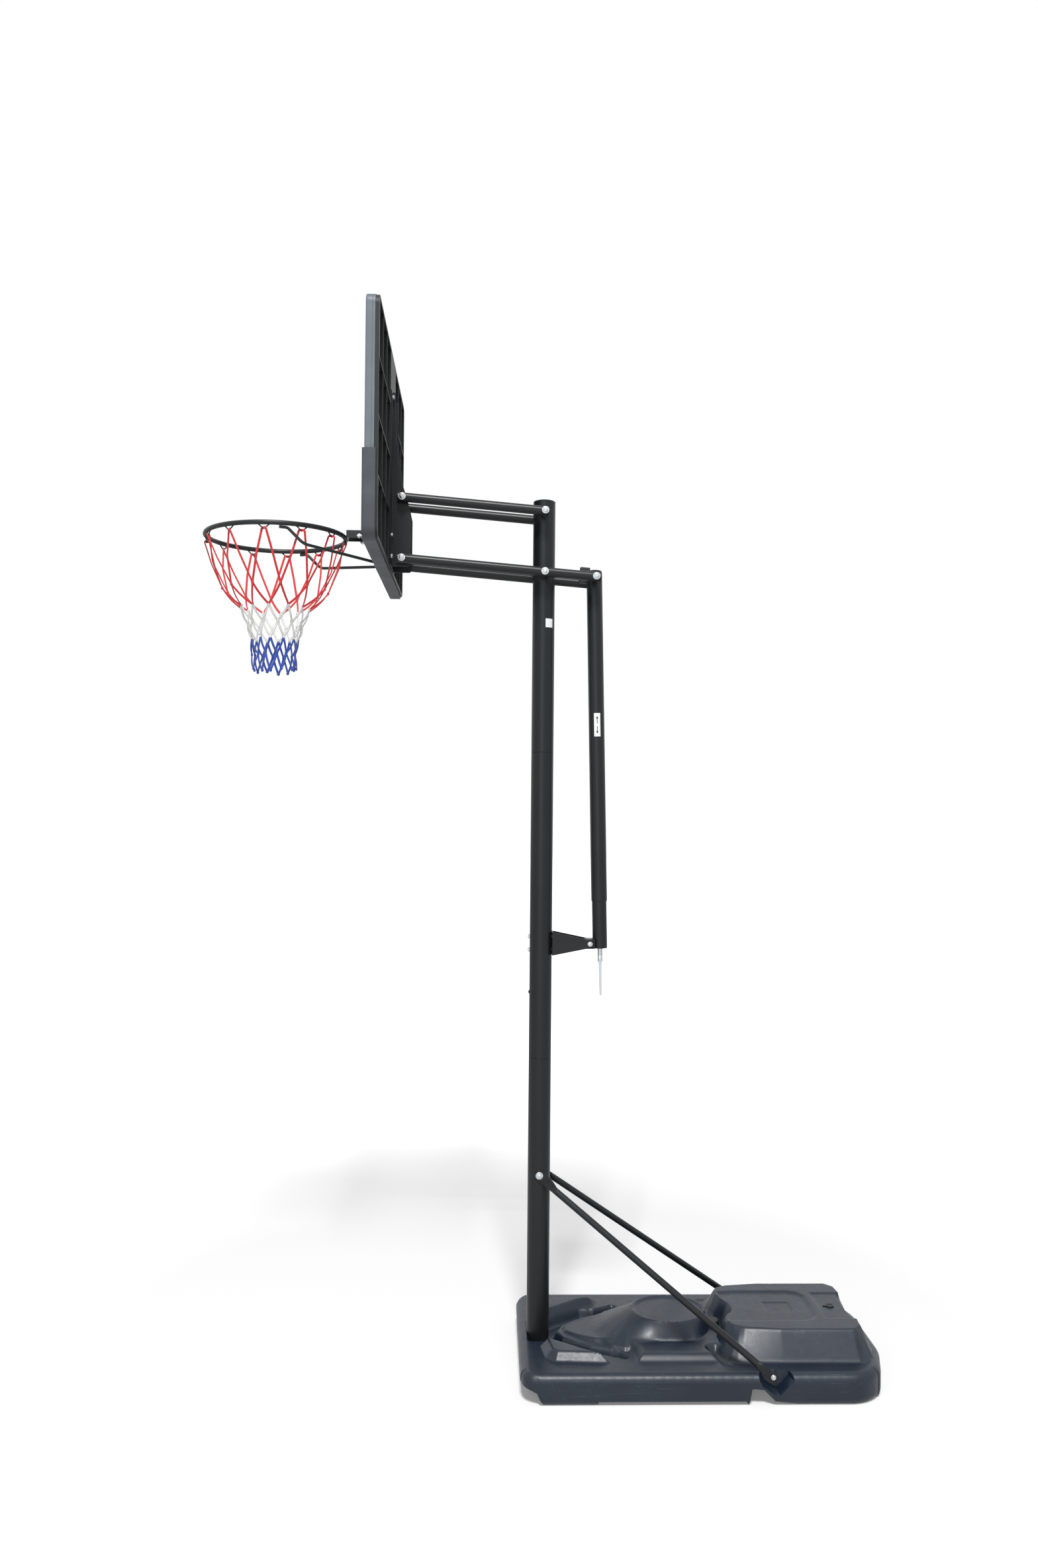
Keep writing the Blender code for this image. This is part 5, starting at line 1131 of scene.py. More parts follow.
    def sides(self) -> Array:
        """How high each level of the sides is, and how far in from the outline it lies.

        The crown and the foot are rounds, and the wall between them stands upright.

        Returns:
            Rows of height and inset, from the deck's edge down.
        """
        turn = np.linspace(0, np.pi / 2, 10)[1:]
        crown = np.column_stack([self.deck_z - self.crown * (1 - np.cos(turn)),
                                 self.crown * (1 - np.sin(turn))])
        wall = np.linspace(self.deck_z - self.crown, self.foot_round, 16)[1:]
        turn = np.linspace(0, np.pi / 2, 7)[1:]
        foot = self.foot_round * (1 - np.column_stack([np.sin(turn), np.cos(turn)]))
        return np.concatenate([crown, np.column_stack([wall, wall * 0]), foot])

    def band_top(self, x: Array) -> Array:
        """How high the sunk band along the sides reaches, which dips before both ends.

        Args:
            x: Places along the base.

        Returns:
            The band's height at each.
        """
        places = (-0.02, 0.004, 0.012, 0.146, 0.160, 0.184, 0.795, 0.815, 0.838, 0.970, 1.06)
        tops = (0.098, 0.060, 0.045, 0.045, 0.052, 0.074, 0.074, 0.052, 0.045, 0.045, 0.098)
        return np.interp(x, places, tops)

    def skin(self, coarse: int = 1, wall: float = 0.0) -> Shell:
        """The whole skin, or the water inside it, as one closed surface.

        The top is the square from -1 to 1, a point of which with greatest coordinate r lies
        at r times the outline's reach in its direction. The sides carry its border down
        through the levels, and the bottom draws it in to the middle. The water lies a wall
        inside the skin on every side, and its level cuts it off.

        Args:
            coarse: How many times fewer points the grid has each way.
            wall: How far inside the skin the surface lies.

        Returns:
            The surface.
        """
        columns, rows = self.columns // coarse, self.rows // coarse
        a = np.linspace(-1, 1, columns)[:, None]
        b = np.linspace(-1, 1, rows)[None, :]
        long_half = (self.bulge_x - self.front_x) / 2
        angle = np.arctan2(b * self.half_width, a * long_half)
        reach = self.reach(angle, self.crown + wall) * np.maximum(np.abs(a), np.abs(b))
        x, y = self.centre_x + reach * np.cos(angle), reach * np.sin(angle)
        z = self.height(x, y) - wall
        if wall:
            z = np.minimum(z, self.water_z)
        number = np.arange(columns * rows).reshape(columns, rows)
        border = np.concatenate(
            [number[:-1, 0], number[-1, :-1], number[:0:-1, -1], number[0, :0:-1]]
        )
        around = angle.reshape(-1)[border]
        rings = []
        for level, inset in self.sides():
            level = wall + level * (1 - 2 * wall / self.deck_z)
            far = self.reach(around, inset + wall)
            side_x = self.centre_x + far * np.cos(around)
            below = np.clip((self.band_top(side_x) - level) / self.band_fade, 0, 1)
            far = far - self.band * below * (np.abs(far * np.sin(around)) > self.band_y)
            side_x, side_y = self.centre_x + far * np.cos(around), far * np.sin(around)
            rings.append(np.column_stack([side_x, side_y, np.full(len(border), level)]))
        foot, middle = rings[-1], np.array((self.centre_x, 0.0, wall))
        rings += [middle + (foot - middle) * share for share in (0.8, 0.5, 0.2)]
        walls = Shell.over(rings)
        start = columns * rows
        first = start + np.arange(len(border))
        collar = np.column_stack([border, np.roll(border, -1), np.roll(first, -1), first])
        quads = [grid_quads(columns, rows, False, False), collar, walls.quads + start]
        points = np.concatenate([np.dstack([x, y, z]).reshape(-1, 3), walls.points])
        return Shell(points, np.concatenate(quads), [walls.ends[1] + start])

    def cutters(self, grow: float = 0.0) -> list[Shell]:
        """The shapes that are cut out of the skin from below and around the pole.

        Args:
            grow: How much larger each shape is on every side.

        Returns:
            The nose and fender cuts, the underside, the arches, the wheels' wells, the
            strut-foot pockets and the pole's well.
        """

        def block(outline: list[Pair], *levels: Pair) -> None:
            """Adds a shape that carries its outline in X and Z along Y.

            Args:
                outline: The outline, anticlockwise.
                *levels: Each level's Y, and how far the outline is drawn in there.
            """
            shapes.append(Shell.over([
                np.insert(drawn_in(outline, inset - grow), 1, y, axis=1) for y, inset in levels
            ]))

        shapes: list[Shell] = []
        front, down, end = self.front_x, self.cut_foot, self.cut_end
        nose = [(front - 0.03, down), (-0.035, down), (-0.035, 0.0), (front, 0.045),
                (front - 0.03, 0.045)]
        block(nose, (-self.fender_y - grow, 0), (self.fender_y + grow, 0))
        under = [(0.18, down), (0.657, down), (0.657, self.under_z), (0.18, self.under_z)]
        block(under, (-end - grow, 0), (end + grow, 0))
        fender = [(front - 0.05, down), (0.008, down), (0.008, 0.0), (-0.006, 0.022),
                  (-0.014, 0.041), (-0.030, 0.049), (front, 0.058), (front - 0.05, 0.058)]
        arch = [(0.640, down), (0.83, down), (0.83, 0.0), (0.775, 0.010), (0.742, 0.014),
                (0.706, 0.050), (0.668, 0.054)]
        pocket = [(0.655, 0.150), (0.701, 0.058), (0.744, 0.030), (0.757, 0.030),
                  (0.803, 0.078), (0.804, 0.150)]
        x, wheel_y, wheel_z = self.wheel
        for side in Side:
            for outline, near in ((fender, self.fender_y), (arch, self.arch_y)):
                block(outline, (side.value * (near - grow), 0), (side.value * (end + grow), 0))
            for reach, half in (self.well, self.axle_slot):
                slot = [(x - reach, down), (x + reach, down), (x + reach, wheel_z + reach),
                        (x - reach, wheel_z + reach)]
                middle = side.value * wheel_y
                block(slot, (middle - half - grow, 0), (middle + half + grow, 0))
            floor, taper = self.pocket_y - grow, self.pocket_taper
            levels = ((floor, taper), (floor + 0.004, taper), (self.half_width, 0.0), (end, 0.0))
            block(pocket, *((side.value * y, inset) for y, inset in levels))
        radius = self.pole_radius + grow
        hole = [(self.pole_foot_z - 0.001 - grow, radius), (0.3, radius)]
        return [*shapes, turned(hole, 72)]

    def build(self) -> list[Object]:
        """Makes the skin, the water in it and the two bosses that the struts are bolted to.

        Returns:
            The new pieces.
        """
        skin = carved(self.skin().piece("tank_skin", TANK_SKIN, "stand"), self.cutters())
        water = self.skin(2, self.wall).piece("ballast_water", WATER, "stand")
        carved(water, self.cutters(self.wall))
        made = [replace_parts(skin, "base_tank"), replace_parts(water, "water_ballast")]
        radius, reach = self.boss
        rows = [(self.pocket_y - 0.003, radius + 0.002), (self.pocket_y + 0.002, radius),
                (reach - 0.001, radius - 0.0005), (reach, radius - 0.0015)]
        for side in Side:
            place = (self.strut_foot[0], 0, self.strut_foot[1])
            shell = turned(rows, 40).moved(standing(place, (0, side.value, 0)))
            made.append(shell.piece(f"tank_strut_boss_{side.label}", TANK_SKIN, "stand"))
        return made


@dataclass
class Wheels:
    """Two plastic wheels, each on a stub axle under the front of the base."""

    place: Triple = (-0.018, 0.252, 0.052)
    radius: float = 0.032
    width: float = 0.032
    bore: float = 0.0052
    axle_radius: float = 0.0045
    grip: float = 0.016

    def build(self) -> list[Object]:
        """Makes the wheels and their axles.

        Returns:
            The new pieces.
        """
        radius, half = self.radius, self.width / 2
        loop = [(half, self.bore), (half, radius * 0.42), (half - 0.008, radius * 0.50),
                (half - 0.008, radius * 0.78), (half, radius * 0.88),
                (half * 0.86, radius * 0.985), (half * 0.7, radius), (half * 0.12, radius),
                (half * 0.06, radius * 0.97)]
        loop += [(-height, reach) for height, reach in reversed(loop)]
        wheel = turned(rounded(loop, 0.0012, 3, ring=True), 64, hollow=True)
        reach, thick = half + self.grip, self.axle_radius
        axle = turned(disc(-reach, reach, thick, 0.0006), 32)
        made = []
        x, y, z = self.place
        for side in Side:
            name, stand = side.label, standing((x, side.value * y, z), (0, 1, 0))
            made += [
                wheel.moved(stand).piece(
                    f"wheel_{name}_tyre", WHEEL_PLASTIC, f"wheel_{name}", f"wheel_{name}"
                ),
                axle.moved(stand).piece(f"axle_{name}", ZINC, "stand", f"wheel_axle_{name}"),
            ]
        return made


@dataclass
class Caps:
    """The ribbed filler cap on the plateau and the drain plug with its pull tab."""

    filler: Pair = (0.597, 0.1203)
    cap_radius: float = 0.0255
    cap_height: float = 0.017
    neck_radius: float = 0.019
    ribs: int = 30
    rib_depth: float = 0.0014
    drain: Pair = (1.005, 0.1803)
    plug_radius: float = 0.0085

    def filler_cap(self) -> Shell:
        """The cap, with its gripping ribs.

        The skirt's radius at angle a is its radius less a rib's depth times the square of
        (0.5 + 0.5 cos(n a)), so n grooves run down it.

        Returns:
            The cap's surface.
        """
        radius, height = self.cap_radius, self.cap_height
        rows = np.array([
            (height, 0.004, 0.0), (height, radius - 0.0075, 0.0),
            (height + 0.0004, radius - 0.0062, 0.0), (height + 0.0004, radius - 0.0045, 0.0),
            (height - 0.0006, radius - 0.0022, 0.2), (height - 0.0028, radius - 0.0004, 1.0),
            (height * 0.5, radius, 1.0), (0.0022, radius, 1.0), (0.0016, radius, 0.0),
            (0.0, radius - 0.0003, 0.0), (0.0, self.neck_radius, 0.0),
            (-0.008, self.neck_radius, 0.0),
        ])
        sides = self.ribs * 8
        angle = np.linspace(0, 2 * np.pi, sides, endpoint=False)
        groove = self.rib_depth * (0.5 + 0.5 * np.cos(self.ribs * angle)) ** 2
        reach = rows[:, 1:2] - rows[:, 2:] * groove
        rise = np.broadcast_to(rows[:, :1], reach.shape)
        return Shell.over(np.dstack([reach[..., None] * circle(sides), rise]))

    def build(self) -> list[Object]:
        """Makes the cap and the drain plug.

        Returns:
            The new pieces.
        """
        x, z = self.filler
        cap = self.filler_cap().moved(Matrix.Translation((x, 0, z)))
        x, z = self.drain
        rows = [(0.002, 0.002), (0.002, 0.0068), (0.0048, 0.0082), (0.005, 0.0128),
                (0.0035, 0.0145), (0.0002, 0.0145), (0.0, 0.0140), (0.0, self.plug_radius),
                (-0.006, self.plug_radius), (-0.008, self.plug_radius - 0.0015)]
        strap = [(-0.024, -0.0045), (-0.010, -0.0045), (-0.010, 0.0045), (-0.024, 0.0045)]
        tab = slab(rounded(strap, 0.003, 4, ring=True), 0.0, 0.0032, 0.0008)
        plug = together([turned(rows, 48), tab]).moved(Matrix.Translation((x, 0, z)))
        return [
            cap.piece("ribbed_filler_cap", BLACK_ABS, "filler_cap", "filler_cap"),
            plug.piece("drain_plug_and_tab", BLACK_ABS, "drain_plug", "drain_plug"),
        ]


# Steelwork


@dataclass(frozen=True)
class Thread:
    """The sizes that go with a thread, with how far a bolt of it passes its nut."""

    shank: float
    flat: float
    washer: float
    nut: float
    tail: float


M8 = Thread(0.0038, 0.0064, 0.0085, 0.0062, 0.0)
M10 = Thread(0.005, 0.0084, 0.0126, 0.0088, 0.0035)


@dataclass
class Bolt:
    """A bolt with its washers and nut, put where its CAD node is."""

    node: str
    axis: Triple
    body: str
    thread: Thread = M10
    stub: bool = False
    washer_depth: float = 0.002
    trim: float = 0.0004
    crease: float = 25.0

    def build(self) -> list[Object]:
        """Makes the bolt, from its head's crown to the end of its thread.

        Returns:
            The new piece.
        """
        low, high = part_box(self.node)
        along = Vector(self.axis)
        size, thick, trim = self.thread, self.washer_depth, self.trim
        shank, flat = size.shank, size.flat
        end = abs((high - low).dot(along)) / 2
        under = end - (0.005 if self.stub else size.nut * 0.75)
        rows = [(-end, flat * 0.80), (-end + trim, flat * 0.94), (-end + 0.0014, flat, 1.0),
                (-under - trim, flat, 1.0), (-under, flat * 0.97, 0.4),
                *disc(-under, -under + thick, size.washer, trim), (-under + thick, shank)]
        if self.stub:
            rows += [(end, shank)]
        else:
            top = end - size.tail
            foot = top - size.nut
            if size.tail:
                rows += [(foot - thick, shank), *disc(foot - thick, foot, size.washer, trim)]
            else:
                rows += [(foot, shank)]
            rows += [(foot, flat * 0.97, 0.4), (foot + trim, flat, 1.0),
                     (top - 0.0014, flat, 1.0), (top - trim, flat * 0.94),
                     (top, flat * 0.80), (top, shank)]
            turns = np.linspace(top, end - 0.0005, 8)[1:] if size.tail else []
            rows += [(h, shank - trim * (i % 2)) for i, h in enumerate(turns)]
            rows += [(end, shank - 0.0009)]
        shell = turned(rows, 48).moved(standing((low + high) / 2, along))
        return [shell.piece(f"{self.node}_zinc", ZINC, self.body, self.node, self.crease)]


def bolts() -> list[Bolt]:
    """Lists the stand's bolts.

    Returns:
        Each bolt, with the way that it points and the body that holds it.
    """
    across, back, along = (0.0, -1.0, 0.0), (-1.0, 0.0, 0.0), (1.0, 0.0, 0.0)
    made = [
        Bolt("strut_top_bolt", across, "stand"),
        Bolt("lower_arm_pivot_bolt", across, "stand"),
        Bolt("upper_arm_pivot_bolt", across, "stand"),
        Bolt("jack_top_bolt", across, "lower_arms"),
        Bolt("lower_board_pivot_bolt", across, "backboard"),
        Bolt("upper_board_pivot_bolt", across, "backboard"),
        Bolt("jack_bracket_bolt_1", back, "stand", M8),
        Bolt("jack_bracket_bolt_2", back, "stand", M8),
    ]
    for side in Side:
        name, inward = side.label, (0.0, -side.value, 0.0)
        made += [
            Bolt(f"strut_foot_bolt_{name}", inward, "stand", M8, stub=True),
            Bolt(f"jack_pivot_bolt_{name}", inward, "stand", M8, stub=True),
            Bolt(f"board_top_bolt_{name}", along, "backboard", M8),
            Bolt(f"rim_mount_bolt_{name}_1", along, "backboard", M8),
            Bolt(f"rim_mount_bolt_{name}_2", along, "backboard", M8),
        ]
    return made


@dataclass
class Pole:
    """The three sections of the pole, the cap on its top, a sticker and a screw."""

    radius: float = 0.0381
    wall: float = 0.002
    levels: tuple[float, ...] = (0.031, 1.031, 2.075, 2.938)
    cap_rise: float = 0.007
    label_z: float = 2.518
    label_turn: float = -1.06
    screw_z: float = 1.254

    def build(self) -> list[Object]:
        """Makes the sections, each seated on the one below, the domed cap and the rest.

        Returns:
            The new pieces.
        """
        made = []
        radius, levels = self.radius, self.levels
        for name, low, high in zip(("lower", "middle", "upper"), levels, levels[1:]):
            rows = tube_profile(low + SEAT_GAP, high, radius, self.wall)
            shell = turned(rows, 96, hollow=True)
            made.append(shell.piece(f"pole_{name}_tube", POWDER, "stand", f"pole_{name}"))
        top, rise = levels[-1], self.cap_rise
        rows = [(top + rise, 0.003), (top + rise * 0.97, radius * 0.45),
                (top + rise * 0.82, radius * 0.78), (top + rise * 0.5, radius * 0.94),
                (top + rise * 0.2, radius), (top + SEAT_GAP, radius),
                (top + SEAT_GAP, radius - 0.0025), (top - 0.01, radius - 0.0025)]
        head = [(-0.002, 0.0028), (0.0002, 0.0028), (0.0002, 0.0056), (0.0012, 0.0058),
                (0.0026, 0.0048), (0.0034, 0.0028), (0.0028, 0.0018), (0.0018, 0.0014)]
        screw = turned(head, 32).moved(standing((-radius, 0, self.screw_z), (-1, 0, 0)))
        label = curved_label(radius, self.label_z, self.label_turn, 0.030, 0.36)
        return [
            *made,
            turned(rows, 96).piece("pole_end_cap", BLACK_ABS, "stand", "pole_cap"),
            label.piece("pole_label", LABEL, "stand"),
            screw.piece("pole_side_screw", POWDER, "stand"),
        ]


@dataclass
class Struts:
    """The two bent tubes from the pole to the base's sides, flattened at their ends."""

    top_z: float = 0.638
    foot: Triple = (0.737, 0.3175, 0.084)
    radius: float = 0.011
    tab: float = 0.0042
    tab_half: float = 0.017
    foot_half: float = 0.0125
    kink: float = 0.065
    kink_y: float = 0.0774
    foot_bend: float = 0.014
    pole_radius: float = 0.0381

    def build(self) -> list[Object]:
        """Makes the struts.

        A section is the curve (a |cos t|^p, b |sin t|^p) with the signs of cos and sin. It
        runs from a flat tab, wide and thin, to a round tube and back.

        Returns:
            The new pieces.
        """
        run = np.array((self.foot[0], 0.0, self.foot[2] - self.top_z))
        length = float(np.linalg.norm(run))
        along = run / length
        across = np.array((-along[2], 0.0, along[0]))
        top, toe = self.pole_radius + SEAT_GAP + self.tab / 2, self.foot[1]
        bend, flat = length - self.kink, self.tab / 2
        wide, tube, sole = self.tab_half, self.radius, self.foot_half
        # Each row has a place along the strut, how far out it lies, the section's two half
        # widths and its power.
        rows = np.array([
            (-0.016, top, wide * 0.6, flat, 0.5),
            (-0.013, top, wide * 0.9, flat, 0.5),
            (-0.008, top, wide, flat, 0.5),
            (0.030, top, wide, flat, 0.5),
            (0.048, (top + self.kink_y) * 0.47, wide * 0.86, flat * 2.2, 0.75),
            (self.kink, self.kink_y, tube, tube, 1.0),
            (bend, toe - self.foot_bend, tube, tube, 1.0),
            (length - 0.052, toe - 0.004, sole, flat * 2.2, 0.75),
            (length - 0.036, toe, sole, flat, 0.5),
            (length + 0.008, toe, sole, flat, 0.5),
            (length + 0.013, toe, sole * 0.8, flat, 0.5),
            (length + 0.016, toe, sole * 0.5, flat, 0.5),
        ])
        fine = np.concatenate([np.linspace(rows[0, 0], self.kink, 40),
                               np.linspace(self.kink, bend, 24)[1:-1],
                               np.linspace(bend, rows[-1, 0], 40)])
        out, wide, thin, power = (np.interp(fine, rows[:, 0], row)[:, None]
                                  for row in rows[:, 1:].T)
        angle = np.linspace(0, 2 * np.pi, 28, endpoint=False)[None, :]
        u = np.sign(np.cos(angle)) * np.abs(np.cos(angle)) ** power * wide
        v = np.sign(np.sin(angle)) * np.abs(np.sin(angle)) ** power * thin
        made = []
        for side in Side:
            square = np.array((0.0, 1.0, 0.0))
            centre = along * fine[:, None] + (0, 0, self.top_z) + side.value * out * square
            shell = Shell.over(centre[:, None] + u[..., None] * across + v[..., None] * square)
            name = f"strut_{side.label}"
            made.append(shell.piece(f"{name}_tube", POWDER, "stand", name))
        return made


@dataclass
class Arms:
    """The four arms that carry the board, and the sleeves that they turn on."""

    pivot_z: float = 2.6857
    spread: float = 0.2073
    reach: float = 0.4865
    rear_reach: float = 0.1755
    tilt: float = float(np.radians(4.65))
    radius: float = 0.0158
    wall: float = 0.0015
    offset_y: float = 0.0752
    front_end: float = 0.017
    upper_end: float = 0.012
    sleeve_radius: float = 0.0105

    @property
    def gap_half(self) -> float:
        """Half the room between the left and the right arm."""
        return self.offset_y - self.radius - SEAT_GAP

    def build(self) -> list[Object]:
        """Makes the arms, the sleeves and the stop block.

        Returns:
            The new pieces.
        """
        made = []
        levels = (
            ("lower", self.pivot_z, self.rear_reach + self.front_end),
            ("upper", self.pivot_z + self.spread, self.upper_end),
        )
        half = self.gap_half
        for pair, level, end in levels:
            pivot = Matrix.Translation((0, 0, level))
            rows = tube_profile(-end, self.reach + self.front_end, self.radius, self.wall)
            for side in Side:
                stand = standing((0, side.value * self.offset_y, 0), (-1, 0, 0))
                stand = pivot @ Matrix.Rotation(self.tilt, 4, "Y") @ stand
                shell = turned(rows, 64, hollow=True).moved(stand)
                name = f"{pair}_arm_{side.label}"
                made.append(shell.piece(f"{name}_tube", POWDER, f"{pair}_arms", name))
            rows = tube_profile(-half, half, self.sleeve_radius, 0.0045)
            shell = turned(rows, 48, hollow=True).moved(standing((0, 0, level), (0, 1, 0)))
            made.append(
                shell.piece(f"{pair}_sleeve_zinc", ZINC, "stand", f"{pair}_pivot_sleeve")
            )
        return [*made, softened("arm_stop_block", BLACK_ABS, "lower_arms", 0.001)]


@dataclass
class Jack:
    """The screw jack behind the pole: its outer and inner tubes, screw, crank and bracket."""

    lean: float = float(np.radians(1.3))
    tube_radius: float = 0.027
    tube_top: float = 0.035
    tube_drop: float = 1.105
    rod_radius: float = 0.025
    rod_wall: float = 0.002
    rod_head: float = 0.72
    rod_foot: float = 1.2665
    lug_half: float = 0.0285
    lug_height: float = 0.032
    lug_groove: Pair = (0.0095, 0.0250)
    lug_front_x: float = 0.150
    bracket_z: float = 1.4215
    fork_radius: float = 0.0085
    fork_length: float = 0.047
    fork_slot: float = 0.0052
    pin_drop: float = 0.037
    label_drop: float = 0.500
    label_rise: float = 0.080
    arms: Arms = field(default_factory=Arms)

    @property
    def head(self) -> Vector:
        """The middle of the bolt that the jack hangs from, at the arms' rear ends."""
        rear = Vector((self.arms.rear_reach, 0, 0))
        return Matrix.Rotation(self.arms.tilt, 3, "Y") @ rear + Vector((0, 0, self.arms.pivot_z))

    @property
    def stand(self) -> Matrix:
        """Where the jack hangs: its head, with Z up along its tubes."""
        return Matrix.Translation(self.head) @ Matrix.Rotation(-self.lean, 4, "Y")

    def tubes(self) -> list[Object]:
        """Makes the outer tube with its rounded top, and the inner one with its lug.

        Returns:
            The new pieces.
        """
        radius, top, drop = self.tube_radius, self.tube_top, -self.tube_drop
        rows = [(top, 0.002), (top - 0.0004, radius * 0.6), (top - 0.0022, radius * 0.86),
                (top - 0.0055, radius * 0.97), (top - 0.0105, radius), (drop + 0.0006, radius),
                (drop, radius - 0.0006), (drop, radius - 0.0014), (-0.016, radius - 0.0014),
                (-0.017, 0.002)]
        half = self.arms.gap_half
        sleeve = turned(tube_profile(-half, half, 0.0105, 0.004), 48, hollow=True)
        sleeve = sleeve.moved(standing((0, 0, 0), (0, 1, 0)))
        outer = together([turned(rows, 80), sleeve]).moved(self.stand)

        rod, foot = self.rod_radius, -self.rod_foot
        rows = [(-self.rod_head, rod - self.rod_wall), (-self.rod_head, rod),
                (foot + 0.001, rod), (foot, rod - 0.001), (foot, 0.0068)]
        drop = self.head.z - self.bracket_z
        level = -drop / np.cos(self.lean)
        front = self.lug_front_x - self.head.x - drop * np.tan(self.lean)
        groove, floor = self.lug_groove
        half, rise = self.lug_half, self.lug_height / 2
        side = [(half, -rise), (half, -groove), (floor, -groove), (floor, groove),
                (half, groove), (half, rise)]
        outline = side + [(-x, -z) for x, z in side]
        lug = slab(rounded(outline, 0.0008, 2, ring=True), front, -rod * 0.75, 0.0008)
        turn = Matrix(((0, 0, 1, 0), (1, 0, 0, 0), (0, 1, 0, level), (0, 0, 0, 1)))
        inner = together([turned(rows, 80), lug.moved(turn)]).moved(self.stand)
        return [outer.piece("jack_outer_sleeve", POWDER, "jack_outer", "jack_outer_tube"),
                inner.piece("jack_inner_sleeve", POWDER, "jack_inner", "jack_inner_tube")]

    def crank(self) -> list[Object]:
        """Makes the forked end of the screw, the pin through it and the flat handle.

        Returns:
            The new pieces.
        """
        foot = -self.rod_foot - SEAT_GAP
        radius, slot = self.fork_radius, self.fork_slot / 2
        pin = -self.rod_foot - self.pin_drop
        shells = [turned([(-0.44, 0.0056), (-0.444, 0.008), (foot + 0.016, 0.008),
                          (foot + 0.016, 0.006), (foot, 0.006), (foot, radius - 0.0006),
                          (foot - 0.0006, radius), (pin + 0.012, radius)], 48)]
        angle = np.linspace(-np.pi / 2, np.pi / 2, 15)
        reach = np.sqrt(radius**2 - slot**2)
        bow = np.column_stack([reach * np.sin(angle), slot + (radius - slot) * np.cos(angle)])
        for way in (1, -1):
            outline = bow[::-way] * (1, way)
            shells.append(slab(outline, foot - self.fork_length, pin + 0.0121, 0.0008))
        fork = together(shells).moved(self.stand)
        side = [(-radius - 0.0015, 0.0030), (-radius - 0.0010, 0.0046),
                (-radius - 0.0002, 0.0048), (-radius - 0.0002, 0.003)]
        rivet = turned(side + [(-place, size) for place, size in reversed(side)], 32)
        rivet = rivet.moved(self.stand @ standing((0, 0, pin), (0, 1, 0)))
        return [fork.piece("jack_screw_fork", ZINC, "crank", "jack_screw"),
                rivet.piece("crank_rivet", ZINC, "crank", "crank_pin"),
                softened("crank_handle", ZINC, "crank_handle")]

    def label(self) -> list[Object]:
        """Makes the tall white sticker on the outer tube, with an arrow for each way.

        Returns:
            The new pieces.
        """
        drop, rise = self.label_drop, self.label_rise
        film = curved_label(self.tube_radius, -drop, -np.pi / 2, rise, 0.40).moved(self.stand)
        arrow = np.array([(-0.0012, -0.013), (0.0012, -0.013), (0.0012, 0.004),
                          (0.0042, 0.004), (0.0, 0.013), (-0.0042, 0.004), (-0.0012, 0.004)])
        face = self.tube_radius + 0.0006
        shells = []
        for way in (1, -1):
            ink = slab(arrow * (way, way), face - 0.0003, face + 0.0002, 0.0001, 1)
            turn = Matrix(((1, 0, 0, 0), (0, 0, -1, 0), (0, 1, 0, way * rise * 0.22 - drop),
                           (0, 0, 0, 1)))
            shells.append(ink.moved(turn))
        arrows = together(shells).moved(self.stand)
        return [film.piece("jack_label", LABEL, "jack_outer"),
                arrows.piece("jack_label_arrows", LABEL_INK, "jack_outer")]

    def build(self) -> list[Object]:
        """Makes the whole jack, its bracket and its label."""
        bracket = softened("jack_bracket", POWDER, "stand")
        return [*self.tubes(), *self.crank(), bracket, *self.label()]


# Backboard


